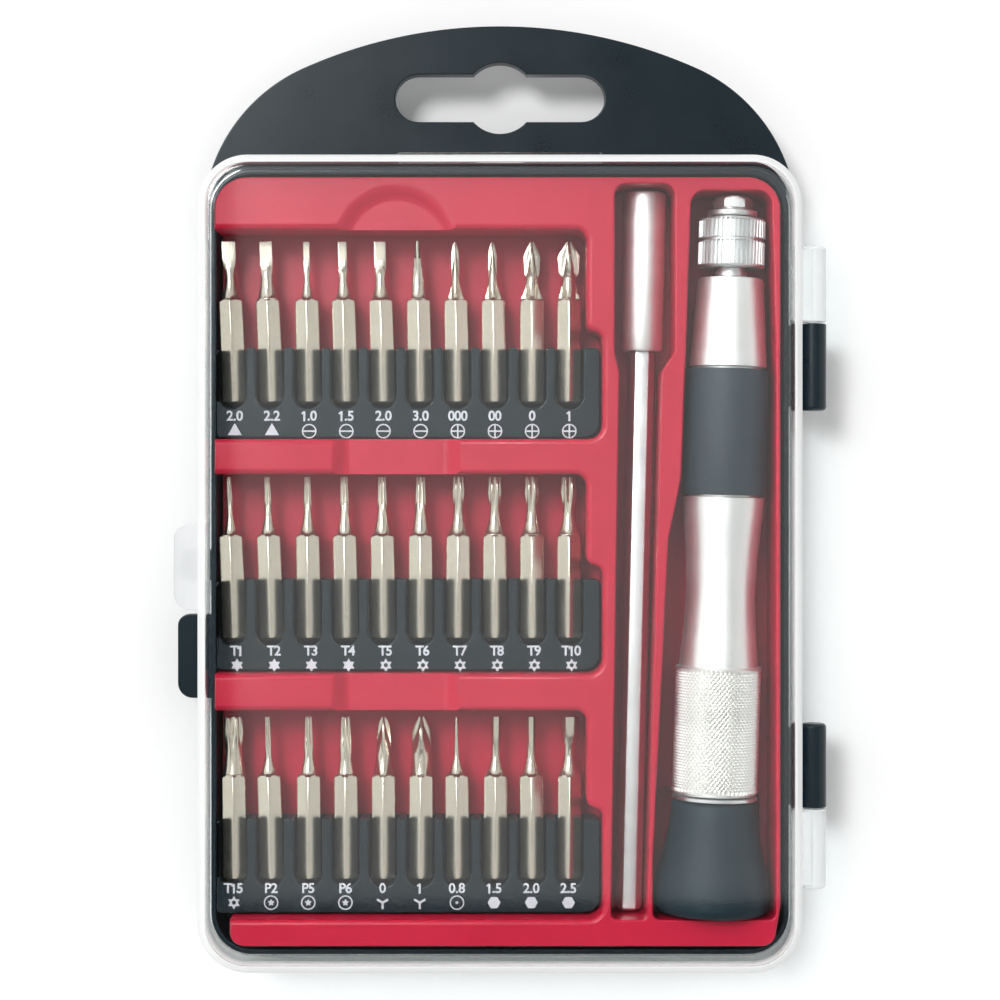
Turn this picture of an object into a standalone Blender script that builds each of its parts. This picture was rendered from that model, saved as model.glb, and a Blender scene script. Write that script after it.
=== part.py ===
"""Precision screwdriver set: thirty 4 mm bits, an extension and a quick-release handle in a hinged case.

The case lies on its back: +Z is up out of the clear lid, +Y runs to the hanger, the hinge is at +X and
the latch at -X. The origin is at the middle of the case's underside.
"""
import math

import bmesh
import bpy
from mathutils import Matrix, Vector

MM = 0.001
GAP = 0.3 * MM

# Lid: a clear tub, upside down, whose skirt laps outside the base's wall.
LID_WIDTH = 102.4 * MM
LID_TOP_Y = 57.2 * MM
LID_BOTTOM_Y = -80.9 * MM
LID_RIM_Z = 10.5 * MM
LID_TOP_Z = 25.0 * MM
LID_WALL = 1.1 * MM
LID_DRAFT = 0.6 * MM
LID_CORNER = 8.5 * MM

# Base: a shallow black tub with a hanger plate at its top end.
BASE_INSET = LID_WALL + 0.35 * MM
BASE_TOP_Z = 12.0 * MM
BASE_WALL = 0.95 * MM
BASE_FLOOR = 1.6 * MM
HANGER_TOP_Y = 80.9 * MM
HANGER_Z = (7.0 * MM, 10.0 * MM)
HANGER_CROWN_RADIUS = 83.7 * MM
HANGER_SHOULDER_RADIUS = 29.5 * MM
HANGER_SHOULDER_ANGLE = math.radians(24.0)
HANGER_HALF_WIDTH = 50.8 * MM
HANGER_FOOT_Y = 52.6 * MM
SLOT_Y = 68.4 * MM
SLOT_SIZE = (36.3 * MM, 8.2 * MM)
SLOT_EYE_RADIUS = 6.15 * MM

# Hinge and latch.
HINGE_X = 54.05 * MM
HINGE_Z = 11.3 * MM
KNUCKLE_RADIUS = 2.25 * MM
PEG_RADIUS = 0.9 * MM
PEG_LENGTH = 3.2 * MM
LID_KNUCKLES = ((29.45 * MM, 42.5 * MM), (-68.1 * MM, -54.45 * MM))
BASE_KNUCKLES = ((14.2 * MM, 29.15 * MM), (-54.15 * MM, -39.7 * MM))
LATCH_X = -56.3 * MM

# Insert tray: thin formed sheet with ridges between the bays.
TRAY_BOTTOM_Z = 1.9 * MM
RIDGE_Z = 18.5 * MM
BAY_FLOOR_Z = 6.0 * MM
SHEET = 0.9 * MM
TRAY_RIGHT_X = 47.5 * MM
TRAY_LEFT_X = -48.4 * MM
TRAY_TOP_Y = 53.5 * MM
TRAY_BOTTOM_Y = -76.8 * MM
BAY_BIT_X = 14.7 * MM
BAY_RACK_X = 17.4 * MM
SADDLE_X = -17.6 * MM
SADDLE_RADIUS = 10.6 * MM
SADDLE_DEPTH = 1.8 * MM

# Bits and the racks that hold them, row by row from the hanger down.
BIT_ACROSS_FLATS = 4.0 * MM
BIT_LENGTH = 28.0 * MM
SHANK_LENGTH = 18.0 * MM
BIT_AXIS_Z = 10.6 * MM
BIT_PITCH = 6.4 * MM
BIT_ROW_X = -16.9 * MM
BITS_IN_ROW = 10
RACK_LEFT_X = -48.5 * MM
RACK_RIGHT_X = 17.1 * MM
RACK_Z = (6.3 * MM, 13.8 * MM)
GROOVE_WIDTH = 4.9 * MM
GROOVE_FLOOR_Z = 7.95 * MM
ROWS = (
    {"name": "top", "bay": (9.15 * MM, 44.7 * MM), "rack": (9.45 * MM, 24.9 * MM), "tail": 15.4 * MM},
    {"name": "middle", "bay": (-30.7 * MM, 3.2 * MM), "rack": (-30.4 * MM, -14.8 * MM), "tail": -25.2 * MM},
    {"name": "bottom", "bay": (-72.3 * MM, -36.9 * MM), "rack": (-72.0 * MM, -55.9 * MM), "tail": -66.6 * MM},
)

# Handle and extension: each is turned about its own tilted axis, measured from its tail end.
HANDLE_TAIL = Vector((36.18, -71.9, 13.0)) * MM
HANDLE_TILT = math.radians(1.8)
EXTENSION_TAIL = Vector((22.18, -71.9, 10.5)) * MM
EXTENSION_TILT = math.radians(1.36)
SOCKET_ACROSS_FLATS = 4.15 * MM
SOCKET_RADIUS = 3.6 * MM
GRIP_RADIUS = 7.15 * MM
KNURL_RADIUS = 7.38 * MM
WAIST_ENDS = (6.75 * MM, 6.95 * MM)
WAIST_DEPTH = 0.9 * MM
SLEEVE_RADIUS = 5.7 * MM

# Each bit: name, tip form, tip width, lean of the bit in its groove (degrees, positive to the left).
BITS = (
    (("triangle_2_0", "triangle", 2.6, 2.4), ("triangle_2_2", "triangle", 2.3, 2.4),
     ("slotted_1_0", "blade", 1.1, 1.2), ("slotted_1_5", "blade", 1.5, 1.6),
     ("slotted_2_0", "blade", 2.0, 1.4), ("slotted_3_0", "blade_edge_on", 3.0, 1.2),
     ("cross_000", "cross", 1.4, 1.0), ("cross_00", "cross", 1.8, 0.9),
     ("cross_0", "cross", 2.9, 0.0), ("cross_1", "cross", 3.8, 0.0)),
    (("star_1", "star", 0.9, 2.4), ("star_2", "star", 1.0, 1.9), ("star_3", "star", 1.15, 0.8),
     ("star_4", "star", 1.3, 0.9), ("star_5", "star", 1.4, 0.6), ("star_6", "star", 1.7, 0.0),
     ("star_7", "star", 2.0, -0.3), ("star_8", "star", 2.3, 0.0), ("star_9", "star", 2.5, 0.0),
     ("star_10", "star", 2.75, 0.0)),
    (("star_15", "star", 3.25, 0.7), ("five_lobe_2", "five_lobe", 0.8, 1.8),
     ("five_lobe_5", "five_lobe", 1.2, 0.3), ("five_lobe_6", "five_lobe", 1.6, 0.3),
     ("three_wing_0", "three_wing", 2.5, 0.0), ("three_wing_1", "three_wing", 3.6, -0.3),
     ("pin_0_8", "pin", 0.8, 0.5), ("hex_1_5", "hexagon", 1.5, -0.5),
     ("hex_2_0", "hexagon", 2.0, 0.3), ("hex_2_5", "hexagon", 2.5, -0.3)),
)


# ---------------------------------------------------------------- materials and mesh helpers

def make_material(name, color, roughness, metallic=0.0, alpha=1.0):
    material = bpy.data.materials.new(name)
    material.use_nodes = True
    shader = material.node_tree.nodes["Principled BSDF"]
    shader.inputs["Base Color"].default_value = (*color, 1.0)
    shader.inputs["Roughness"].default_value = roughness
    shader.inputs["Metallic"].default_value = metallic
    shader.inputs["Alpha"].default_value = alpha
    return material


def add_object(name, bm, material, parent=None):
    """Turn a bmesh into a scene object with outward faces and smooth round sides."""
    bmesh.ops.remove_doubles(bm, verts=bm.verts, dist=1e-7)
    bmesh.ops.recalc_face_normals(bm, faces=bm.faces)
    mesh = bpy.data.meshes.new(name)
    bm.to_mesh(mesh)
    bm.free()
    mesh.materials.append(material)
    mesh.shade_smooth()
    mesh.set_sharp_from_angle(angle=math.radians(35))
    obj = bpy.data.objects.new(name, mesh)
    obj.parent = parent
    bpy.context.collection.objects.link(obj)
    return obj


def bridge(bm, first, second):
    """Join two rings of vertices with faces, whatever their counts, going round them together."""
    if len(first) == len(second):
        for k in range(len(first)):
            n = (k + 1) % len(first)
            bm.faces.new((first[k], first[n], second[n], second[k]))
        return
    i = j = 0
    while i < len(first) or j < len(second):
        step_first = (i + 1) / len(first) <= (j + 1) / len(second)
        a, b = first[i % len(first)], second[j % len(second)]
        if step_first:
            bm.faces.new((a, first[(i + 1) % len(first)], b))
            i += 1
        else:
            bm.faces.new((a, second[(j + 1) % len(second)], b))
            j += 1


def loft(rings, closed=False, bm=None):
    """Skin a stack of rings. An open stack is capped at both ends, a closed one joins last to first."""
    bm = bm or bmesh.new()
    made = [[bm.verts.new(point) for point in ring] for ring in rings]
    for lower, upper in zip(made, made[1:]):
        bridge(bm, lower, upper)
    if closed:
        bridge(bm, made[-1], made[0])
    else:
        bm.faces.new(list(reversed(made[0])))
        bm.faces.new(made[-1])
    return bm


def rounded(corners, steps=4):
    """Outline from (x, y, radius) corners, each corner replaced by an arc."""
    points = []
    count = len(corners)
    for k, (x, y, radius) in enumerate(corners):
        here = Vector((x, y))
        before = (Vector(corners[k - 1][:2]) - here).normalized()
        after = (Vector(corners[(k + 1) % count][:2]) - here).normalized()
        if radius <= 0:
            points.append(here)
            continue
        half = before.angle(after) / 2
        centre = here + (before + after).normalized() * (radius / math.sin(half))
        start = here + before * (radius / math.tan(half)) - centre
        turn = start.angle_signed(here + after * (radius / math.tan(half)) - centre)
        for step in range(steps + 1):
            points.append(centre + Matrix.Rotation(-turn * step / steps, 2) @ start)
    return points


def rectangle(x0, x1, y0, y1, radius=0.0):
    return [(x0, y0, radius), (x1, y0, radius), (x1, y1, radius), (x0, y1, radius)]


def at_height(outline, z):
    return [Vector((p[0], p[1], z)) for p in outline]


def prism(outline, z0, z1, bm=None):
    return loft([at_height(outline, z0), at_height(outline, z1)], bm=bm)


def polar_ring(radius_at, count, y, phase=0.0):
    """Ring round the local Y axis; radius_at gives the radius for an angle in radians."""
    ring = []
    for k in range(count):
        angle = phase + 2 * math.pi * k / count
        r = radius_at(angle)
        ring.append(Vector((r * math.cos(angle), y, r * math.sin(angle))))
    return ring


def circle(radius):
    return lambda angle: radius


def hexagon(across_flats, corner_at=math.pi / 2):
    """Radius of a hexagon with a corner at the given angle."""
    def radius_at(angle):
        return across_flats / 2 / math.cos((angle - corner_at) % (math.pi / 3) - math.pi / 6)
    return radius_at


def turned(profile, count=24, closed=False):
    """Skin a profile of (distance along Y, radius or radius function) pairs."""
    rings = []
    for y, radius in profile:
        radius_at = radius if callable(radius) else circle(radius)
        rings.append(polar_ring(radius_at, count, y))
    return loft(rings, closed=closed)


def cutter(name, bm):
    obj = add_object(name, bm, PLASTIC_BLACK)
    obj.hide_render = True
    obj.display_type = "WIRE"
    return obj


def combine(target, tool, operation):
    modifier = target.modifiers.new(f"{operation.lower()}_{tool.name}", "BOOLEAN")
    modifier.operation = operation
    modifier.solver = "EXACT"
    modifier.object = tool


def set_origin(obj, point):
    """Move an object's origin to a point and keep its mesh where it is."""
    obj.data.transform(Matrix.Translation(-point))
    obj.location = point


def add_axis(name, tail, tilt):
    """Empty on a tool's axis: local +Y runs from its tail end to its working end."""
    empty = bpy.data.objects.new(name, None)
    empty.location = tail
    empty.rotation_euler = (0, 0, -tilt)
    bpy.context.collection.objects.link(empty)
    return empty


# ---------------------------------------------------------------- case

def lid_outline(inset, steps=6):
    """The lid's plan at its rim, moved inwards by an inset."""
    half = LID_WIDTH / 2 - inset
    return rounded(rectangle(-half, half, LID_BOTTOM_Y + inset, LID_TOP_Y - inset, LID_CORNER - inset), steps)


def knuckle(y0, y1, rounded_end, bm=None):
    """Barrel on the hinge axis; its outer end is domed a little, as moulded."""
    centre = Vector((HINGE_X, 0, HINGE_Z))
    dome = 0.7 * MM
    stations = [(y0, 1.0), (y1 - dome, 1.0), (y1, 0.72)]
    if rounded_end < 0:
        stations = [(y0, 0.72), (y0 + dome, 1.0), (y1, 1.0)]
    rings = [[p + centre for p in polar_ring(circle(KNUCKLE_RADIUS * part), 16, y)] for y, part in stations]
    return loft(rings, bm=bm)


def build_base():
    inner = BASE_INSET + BASE_WALL
    rings = [
        at_height(lid_outline(inner + 0.6 * MM), BASE_FLOOR),
        at_height(lid_outline(inner), BASE_FLOOR + 0.6 * MM),
        at_height(lid_outline(inner), BASE_TOP_Z),
        at_height(lid_outline(BASE_INSET), BASE_TOP_Z),
        at_height(lid_outline(BASE_INSET), 0.8 * MM),
        at_height(lid_outline(BASE_INSET + 0.8 * MM), 0.0),
    ]
    base = add_object("base_shell", loft(rings), PLASTIC_BLACK)
    combine(base, cutter("hanger_body", build_hanger()), "UNION")
    combine(base, cutter("hang_slot_cutter", build_hang_slot()), "DIFFERENCE")

    wall_x = LID_WIDTH / 2 - BASE_INSET - 0.5 * MM
    arm_z = (HINGE_Z - KNUCKLE_RADIUS + 0.05 * MM, LID_RIM_Z - GAP)
    for k, (y0, y1) in enumerate(BASE_KNUCKLES):
        arm = prism(rounded(rectangle(wall_x, HINGE_X, y0 + 0.8 * MM, y1 - 0.2 * MM)), *arm_z)
        combine(base, cutter(f"base_arm_{k}", arm), "UNION")
        outer_end = -1 if k == 0 else 1
        combine(base, cutter(f"base_knuckle_{k}", knuckle(y0, y1, outer_end)), "UNION")
        mouth = y1 if k == 0 else y0
        inward = -1 if k == 0 else 1
        hole_end = mouth + inward * (PEG_LENGTH + GAP)
        hole = loft([[p + Vector((HINGE_X, 0, HINGE_Z)) for p in polar_ring(circle(PEG_RADIUS + GAP), 12, y)]
                     for y in (mouth - inward * MM, hole_end)])
        combine(base, cutter(f"peg_hole_{k}", hole), "DIFFERENCE")

    nib = prism(rounded(rectangle(-54.9 * MM, -wall_x, -15.1 * MM, -9.7 * MM, 0.5 * MM), 2), 8.0 * MM, 9.9 * MM)
    combine(base, cutter("catch_nib", nib), "UNION")
    tab = [(-55.8 * MM, -35.5 * MM, 2.6 * MM), (-wall_x, -35.5 * MM, 0.0),
           (-wall_x, -20.95 * MM, 0.0), (-55.8 * MM, -20.95 * MM, 2.0 * MM)]
    combine(base, cutter("thumb_tab", prism(rounded(tab), 7.6 * MM, LID_RIM_Z - 0.4 * MM)), "UNION")
    return base


def build_hanger():
    """Plate under an arched outline: one long crown arc and two tighter shoulder arcs."""
    crown_centre = Vector((0, HANGER_TOP_Y - HANGER_CROWN_RADIUS))
    spread = HANGER_SHOULDER_ANGLE
    join = Vector((math.sin(spread), math.cos(spread)))
    shoulder_centre = crown_centre + join * (HANGER_CROWN_RADIUS - HANGER_SHOULDER_RADIUS)
    last = math.asin(min(1.0, (HANGER_HALF_WIDTH - shoulder_centre.x) / HANGER_SHOULDER_RADIUS))
    right = []
    for k in range(10):
        angle = spread * k / 10
        right.append(crown_centre + Vector((math.sin(angle), math.cos(angle))) * HANGER_CROWN_RADIUS)
    for k in range(13):
        angle = spread + (last - spread) * k / 12
        right.append(shoulder_centre + Vector((math.sin(angle), math.cos(angle))) * HANGER_SHOULDER_RADIUS)
    right.append(Vector((HANGER_HALF_WIDTH - 0.4 * MM, HANGER_FOOT_Y)))
    inner_x = LID_WIDTH / 2 - BASE_INSET - 0.5 * MM
    corner = LID_CORNER - BASE_INSET - 0.5 * MM
    inner_y = LID_TOP_Y - BASE_INSET - 0.5 * MM
    first = math.asin((HANGER_FOOT_Y - 1.5 * MM - inner_y + corner) / corner)
    for k in range(5):
        angle = first + (math.pi / 2 - first) * k / 4
        right.append(Vector((inner_x - corner + corner * math.cos(angle),
                             inner_y - corner + corner * math.sin(angle))))
    left = [Vector((-p.x, p.y)) for p in reversed(right[1:])]
    return prism(right + left, *HANGER_Z)


def build_hang_slot():
    """Long round-ended slot with a round eye in its middle."""
    half_length, half_width = SLOT_SIZE[0] / 2, SLOT_SIZE[1] / 2
    reach = math.asin(half_width / SLOT_EYE_RADIUS)
    outline = []
    for facing in (0.0, math.pi):
        end_x = math.cos(facing) * (half_length - half_width)
        for k in range(9):
            angle = facing + math.pi * (k / 8 - 0.5)
            outline.append(Vector((end_x + half_width * math.cos(angle), SLOT_Y + half_width * math.sin(angle))))
        for k in range(9):
            angle = facing + reach + (math.pi - 2 * reach) * k / 8
            outline.append(Vector((SLOT_EYE_RADIUS * math.cos(angle), SLOT_Y + SLOT_EYE_RADIUS * math.sin(angle))))
    return prism(outline, HANGER_Z[0] - MM, HANGER_Z[1] + MM)


def build_lid():
    edge = 2.2 * MM
    outside = [(0.0, LID_RIM_Z), (LID_DRAFT * 0.85, LID_TOP_Z - edge)]
    for k in range(1, 4):
        angle = math.pi / 2 * k / 3
        outside.append((LID_DRAFT + edge * (1 - math.cos(angle)), LID_TOP_Z - edge * (1 - math.sin(angle))))
    inner_edge = edge - LID_WALL
    inside = [(LID_WALL, LID_RIM_Z), (LID_WALL + LID_DRAFT * 0.85, LID_TOP_Z - edge)]
    for k in range(1, 4):
        angle = math.pi / 2 * k / 3
        inside.append((LID_WALL + LID_DRAFT + inner_edge * (1 - math.cos(angle)),
                       LID_TOP_Z - edge + inner_edge * math.sin(angle)))
    levels = list(reversed(inside)) + outside
    rings = [at_height(lid_outline(inset), z) for inset, z in levels]
    lid = add_object("lid", loft(rings), PLASTIC_CLEAR)

    wall_x = LID_WIDTH / 2 - 0.6 * MM
    centre = Vector((HINGE_X, 0, HINGE_Z))
    arm_z = (HINGE_Z + 0.2 * MM, HINGE_Z + KNUCKLE_RADIUS - 0.05 * MM)
    for k, (y0, y1) in enumerate(LID_KNUCKLES):
        arm = prism(rounded(rectangle(wall_x, HINGE_X, y0 + 0.2 * MM, y1 - 0.8 * MM)), *arm_z)
        combine(lid, cutter(f"lid_arm_{k}", arm), "UNION")
        combine(lid, cutter(f"lid_knuckle_{k}", knuckle(y0, y1, 1 if k == 0 else -1)), "UNION")
        face, outward = (y0, -1) if k == 0 else (y1, 1)
        stations = ((face - outward * MM, 1.0), (face + outward * (PEG_LENGTH - 0.4 * MM), 1.0),
                    (face + outward * PEG_LENGTH, 0.6))
        peg = loft([[p + centre for p in polar_ring(circle(PEG_RADIUS * part), 12, y)] for y, part in stations])
        combine(lid, cutter(f"hinge_peg_{k}", peg), "UNION")

    tab = [(LATCH_X, -20.1 * MM, 2.8 * MM), (-wall_x, -20.1 * MM, 0.0),
           (-wall_x, -5.15 * MM, 0.0), (LATCH_X, -5.15 * MM, 2.8 * MM)]
    combine(lid, cutter("latch_tab", prism(rounded(tab), LID_RIM_Z + 0.05 * MM, 12.7 * MM)), "UNION")
    hook = prism(rounded(rectangle(LATCH_X, LATCH_X + MM, -17.0 * MM, -8.3 * MM)), 7.2 * MM, 11.5 * MM)
    combine(lid, cutter("latch_hook", hook), "UNION")
    lip_outer = LID_TOP_Y - LID_DRAFT + 0.55 * MM
    lip = prism(rounded(rectangle(-17.2 * MM, 17.2 * MM, lip_outer - 1.2 * MM, lip_outer, 0.4 * MM), 2),
                21.0 * MM, 22.4 * MM)
    combine(lid, cutter("lid_lip", lip), "UNION")
    set_origin(lid, centre)
    return lid


# ---------------------------------------------------------------- insert tray and racks

def build_tray():
    outline = rounded([
        (TRAY_LEFT_X, -60.0 * MM, 2.0 * MM), (-45.8 * MM, -71.0 * MM, 2.0 * MM),
        (-45.8 * MM, TRAY_BOTTOM_Y, 2.4 * MM), (46.4 * MM, TRAY_BOTTOM_Y, 2.4 * MM),
        (TRAY_RIGHT_X, -70.0 * MM, 2.0 * MM), (TRAY_RIGHT_X, TRAY_TOP_Y, 5.5 * MM),
        (TRAY_LEFT_X, TRAY_TOP_Y, 5.5 * MM)], 3)
    tray = add_object("insert_tray", prism(outline, TRAY_BOTTOM_Z, RIDGE_Z), PLASTIC_RED)
    above = RIDGE_Z + 2 * MM

    bays = bmesh.new()
    for row in ROWS:
        low, high = row["bay"]
        step_y = row["rack"][1] + 2.0 * MM
        bay = rounded([(-60 * MM, low, 0.0), (BAY_RACK_X, low, 2.5 * MM), (BAY_RACK_X, step_y, 1.5 * MM),
                       (BAY_BIT_X, step_y + MM, 1.5 * MM), (BAY_BIT_X, high, 2.0 * MM), (-60 * MM, high, 0.0)], 3)
        prism(bay, BAY_FLOOR_Z, above, bm=bays)
    combine(tray, cutter("bit_bays", bays), "DIFFERENCE")

    saddle_top = 52.2 * MM - SADDLE_RADIUS
    saddle = rounded([(SADDLE_X - SADDLE_RADIUS, -40 * MM, 0.0), (SADDLE_X + SADDLE_RADIUS, -40 * MM, 0.0)], 1)
    for k in range(9):
        angle = math.pi * k / 8
        saddle.append(Vector((SADDLE_X + SADDLE_RADIUS * math.cos(angle),
                              saddle_top + SADDLE_RADIUS * math.sin(angle))))
    combine(tray, cutter("finger_saddle", prism(saddle, RIDGE_Z - SADDLE_DEPTH, above)), "DIFFERENCE")

    channel = rounded([
        (18.8 * MM, -72.3 * MM, 1.0 * MM), (24.85 * MM, -72.3 * MM, 0.9 * MM), (27.4 * MM, 20.5 * MM, 2.0 * MM),
        (29.6 * MM, 24.0 * MM, 2.0 * MM), (29.6 * MM, 52.4 * MM, 2.0 * MM), (19.4 * MM, 52.4 * MM, 2.0 * MM),
        (19.4 * MM, 24.0 * MM, 2.0 * MM), (20.2 * MM, 20.5 * MM, 2.0 * MM)], 3)
    combine(tray, cutter("extension_channel", prism(channel, 6.6 * MM, above)), "DIFFERENCE")

    handle_well = rounded([
        (25.9 * MM, -72.3 * MM, 1.2 * MM), (46.7 * MM, -72.3 * MM, 1.2 * MM), (46.7 * MM, 26 * MM, 2.0 * MM),
        (46.0 * MM, 51.3 * MM, 2.5 * MM), (32.4 * MM, 51.3 * MM, 2.5 * MM),
        (30.7 * MM, 2.5 * MM, 2.0 * MM), (28.5 * MM, -7.8 * MM, 2.0 * MM), (25.9 * MM, -62 * MM, 2.0 * MM)], 3)
    combine(tray, cutter("handle_well", prism(handle_well, 5.3 * MM, above)), "DIFFERENCE")
    cap_well = prism(rounded(rectangle(27.2 * MM, 45.4 * MM, -72.1 * MM, -51.5 * MM, 1.2 * MM), 2),
                     2.6 * MM, 6.0 * MM)
    combine(tray, cutter("cap_well", cap_well), "DIFFERENCE")

    hollow = bmesh.new()
    left, right = TRAY_LEFT_X + MM, BAY_RACK_X - 0.5 * MM
    prism([(left, -60 * MM), (-44.7 * MM, -71 * MM), (-44.7 * MM, TRAY_BOTTOM_Y + MM),
           (right, TRAY_BOTTOM_Y + MM), (right, TRAY_TOP_Y - 3 * MM), (left, TRAY_TOP_Y - 3 * MM)],
          TRAY_BOTTOM_Z - MM, BAY_FLOOR_Z - SHEET, bm=hollow)
    prism(rounded(rectangle(right + MM, TRAY_RIGHT_X - MM, -50.6 * MM, TRAY_TOP_Y - 3 * MM)),
          TRAY_BOTTOM_Z - MM, 4.4 * MM, bm=hollow)
    combine(tray, cutter("under_bays", hollow), "DIFFERENCE")
    ridges = bmesh.new()
    spans = [(TRAY_BOTTOM_Y, ROWS[2]["bay"][0]), (ROWS[2]["bay"][1], ROWS[1]["bay"][0]),
             (ROWS[1]["bay"][1], ROWS[0]["bay"][0]), (ROWS[0]["bay"][1], TRAY_TOP_Y - 2 * MM)]
    for k, (low, high) in enumerate(spans):
        start = left if k else -44.7 * MM
        prism(rounded(rectangle(start, right, low + MM, high - MM)), BAY_FLOOR_Z - SHEET - 0.5 * MM,
              RIDGE_Z - SADDLE_DEPTH - SHEET, bm=ridges)
    combine(tray, cutter("under_ridges", ridges), "DIFFERENCE")
    return tray


def bit_x(column):
    return BIT_ROW_X + (column - (BITS_IN_ROW - 1) / 2) * BIT_PITCH


def build_rack(row):
    """Moulded comb: ten grooves, open at the face and at the top edge, round at their lower ends."""
    low, high = row["rack"]
    plan = [(RACK_LEFT_X, low, 0.8 * MM), (RACK_RIGHT_X, low, 2.6 * MM),
            (RACK_RIGHT_X, high, 0.8 * MM), (RACK_LEFT_X, high, 0.8 * MM)]
    block = prism(rounded(plan, 2), *RACK_Z)
    rack = add_object(f"bit_rack_{row['name']}", block, PLASTIC_BLACK)
    grooves = bmesh.new()
    radius = GROOVE_WIDTH / 2
    for column in range(BITS_IN_ROW):
        lean = math.radians(BITS[ROWS.index(row)][column][3])
        middle = bit_x(column) - math.sin(lean) * (high - row["tail"]) / 2
        end_y = row["tail"] - MM + radius
        outline = [Vector((middle + radius, high + MM)), Vector((middle - radius, high + MM))]
        for k in range(7):
            angle = math.pi + math.pi * k / 6
            outline.append(Vector((middle + radius * math.cos(angle), end_y + radius * math.sin(angle))))
        prism(outline, GROOVE_FLOOR_Z, RACK_Z[1] + MM, bm=grooves)
    combine(rack, cutter(f"grooves_{row['name']}", grooves), "DIFFERENCE")
    return rack


# ---------------------------------------------------------------- bits

def star_points(lobes, outer, valley):
    """Radius that alternates between lobe tips and valleys."""
    def radius_at(angle):
        return outer if round((angle - math.pi / 2) * lobes / math.pi) % 2 == 0 else valley
    return radius_at


def winged(wings, outer, root, half_thickness):
    """Three points per wing: two tip corners and the valley before the next wing."""
    points = []
    for wing in range(wings):
        base_angle = math.pi / 2 + 2 * math.pi * wing / wings
        along = Vector((math.cos(base_angle), 0, math.sin(base_angle)))
        across = Vector((-along.z, 0, along.x))
        points += [along * outer - across * half_thickness, along * outer + across * half_thickness]
        valley = base_angle + math.pi / wings
        points.append(Vector((math.cos(valley), 0, math.sin(valley))) * root)
    return points


def tip_section(form, width):
    """Cross-section points of a tip, centred on the axis, starting near the top."""
    half = width / 2
    if form == "triangle":
        return polar_ring(circle(half), 3, 0, math.pi / 2)
    if form in ("blade", "blade_edge_on"):
        thin = max(0.12 * width, 0.14 * MM)
        across, deep = (half, thin) if form == "blade" else (thin, half)
        return [Vector(p) for p in ((across, 0, deep), (-across, 0, deep), (-across, 0, -deep), (across, 0, -deep))]
    if form == "cross":
        return winged(4, half, half * 0.42, half * 0.2)
    if form == "three_wing":
        return winged(3, half, half * 0.4, half * 0.22)
    if form == "star":
        return polar_ring(star_points(6, half, half * 0.72), 12, 0, math.pi / 2)
    if form == "five_lobe":
        return polar_ring(star_points(5, half, half * 0.7), 10, 0, math.pi / 2)
    if form == "hexagon":
        return polar_ring(hexagon(width), 6, 0, math.pi / 2)
    return polar_ring(circle(half), 8, 0, math.pi / 2)


def scaled(section, y, part=1.0):
    return [Vector((p.x * part, y, p.z * part)) for p in section]


def build_bit(name, form, width_mm, row, column, lean_degrees):
    width = width_mm * MM
    section = tip_section(form, width)
    neck = max(width * 0.5, 0.75 * MM)
    neck = min(neck, 1.75 * MM)
    blade_start = BIT_LENGTH - max(2.2 * MM, min(width * 2.4, 5.0 * MM))
    rings = [
        polar_ring(hexagon(BIT_ACROSS_FLATS - 0.7 * MM), 6, 0.0, math.pi / 2),
        polar_ring(hexagon(BIT_ACROSS_FLATS), 6, 0.45 * MM, math.pi / 2),
        polar_ring(hexagon(BIT_ACROSS_FLATS), 6, SHANK_LENGTH, math.pi / 2),
        polar_ring(circle(max(neck, 1.15 * MM)), 12, SHANK_LENGTH + 1.3 * MM, math.pi / 2),
        polar_ring(circle(neck * 0.95), 12, blade_start - 0.6 * MM, math.pi / 2),
        scaled(section, blade_start, 0.96),
    ]
    pointed = {"cross": 0.28, "three_wing": 0.3, "pin": 0.35, "blade_edge_on": 0.25}
    if form == "blade_edge_on":
        rings.append([Vector((p.x, BIT_LENGTH, p.z)) for p in section])
    elif form in pointed:
        rings.append(scaled(section, BIT_LENGTH - width * 0.75))
        rings.append(scaled(section, BIT_LENGTH, pointed[form]))
    else:
        rings.append(scaled(section, BIT_LENGTH - 0.25 * MM))
        rings.append(scaled(section, BIT_LENGTH, 0.88))
    bit = add_object(f"bit_{name}", loft(rings), STEEL_NICKEL)
    bit.location = (bit_x(column), row["tail"], BIT_AXIS_Z)
    bit.rotation_euler = (0, 0, math.radians(lean_degrees))
    return bit


# ---------------------------------------------------------------- extension

def build_extension():
    axis = add_axis("extension_axis", EXTENSION_TAIL, EXTENSION_TILT)
    flat_up = hexagon(BIT_ACROSS_FLATS, corner_at=0.0)
    chamfered = hexagon(BIT_ACROSS_FLATS - 0.7 * MM, corner_at=0.0)
    rod = [(0.0, chamfered), (0.5 * MM, flat_up), (103.7 * MM, flat_up), (104.0 * MM, chamfered)]
    add_object("extension_shaft", turned(rod, 6), STEEL_BRIGHT, axis)

    hex_bore = hexagon(SOCKET_ACROSS_FLATS, corner_at=0.0)
    wide_bore = hexagon(SOCKET_ACROSS_FLATS + 0.7 * MM, corner_at=0.0)
    bottom, top, radius = 96.3 * MM, 123.8 * MM, SOCKET_RADIUS
    socket = [(104.3 * MM, 2.65 * MM), (bottom, 2.65 * MM), (bottom, radius - 0.5 * MM),
              (bottom + 0.6 * MM, radius), (top - 0.6 * MM, radius), (top, radius - 0.5 * MM),
              (top, wide_bore), (top - 0.6 * MM, hex_bore), (112.0 * MM, hex_bore)]
    add_object("extension_socket", turned(socket), ALUMINIUM, axis)
    magnet = [(112.3 * MM, 1.6 * MM), (113.8 * MM, 1.6 * MM)]
    add_object("extension_magnet", turned(magnet, 12), STEEL_BRIGHT, axis)


# ---------------------------------------------------------------- handle

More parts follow.
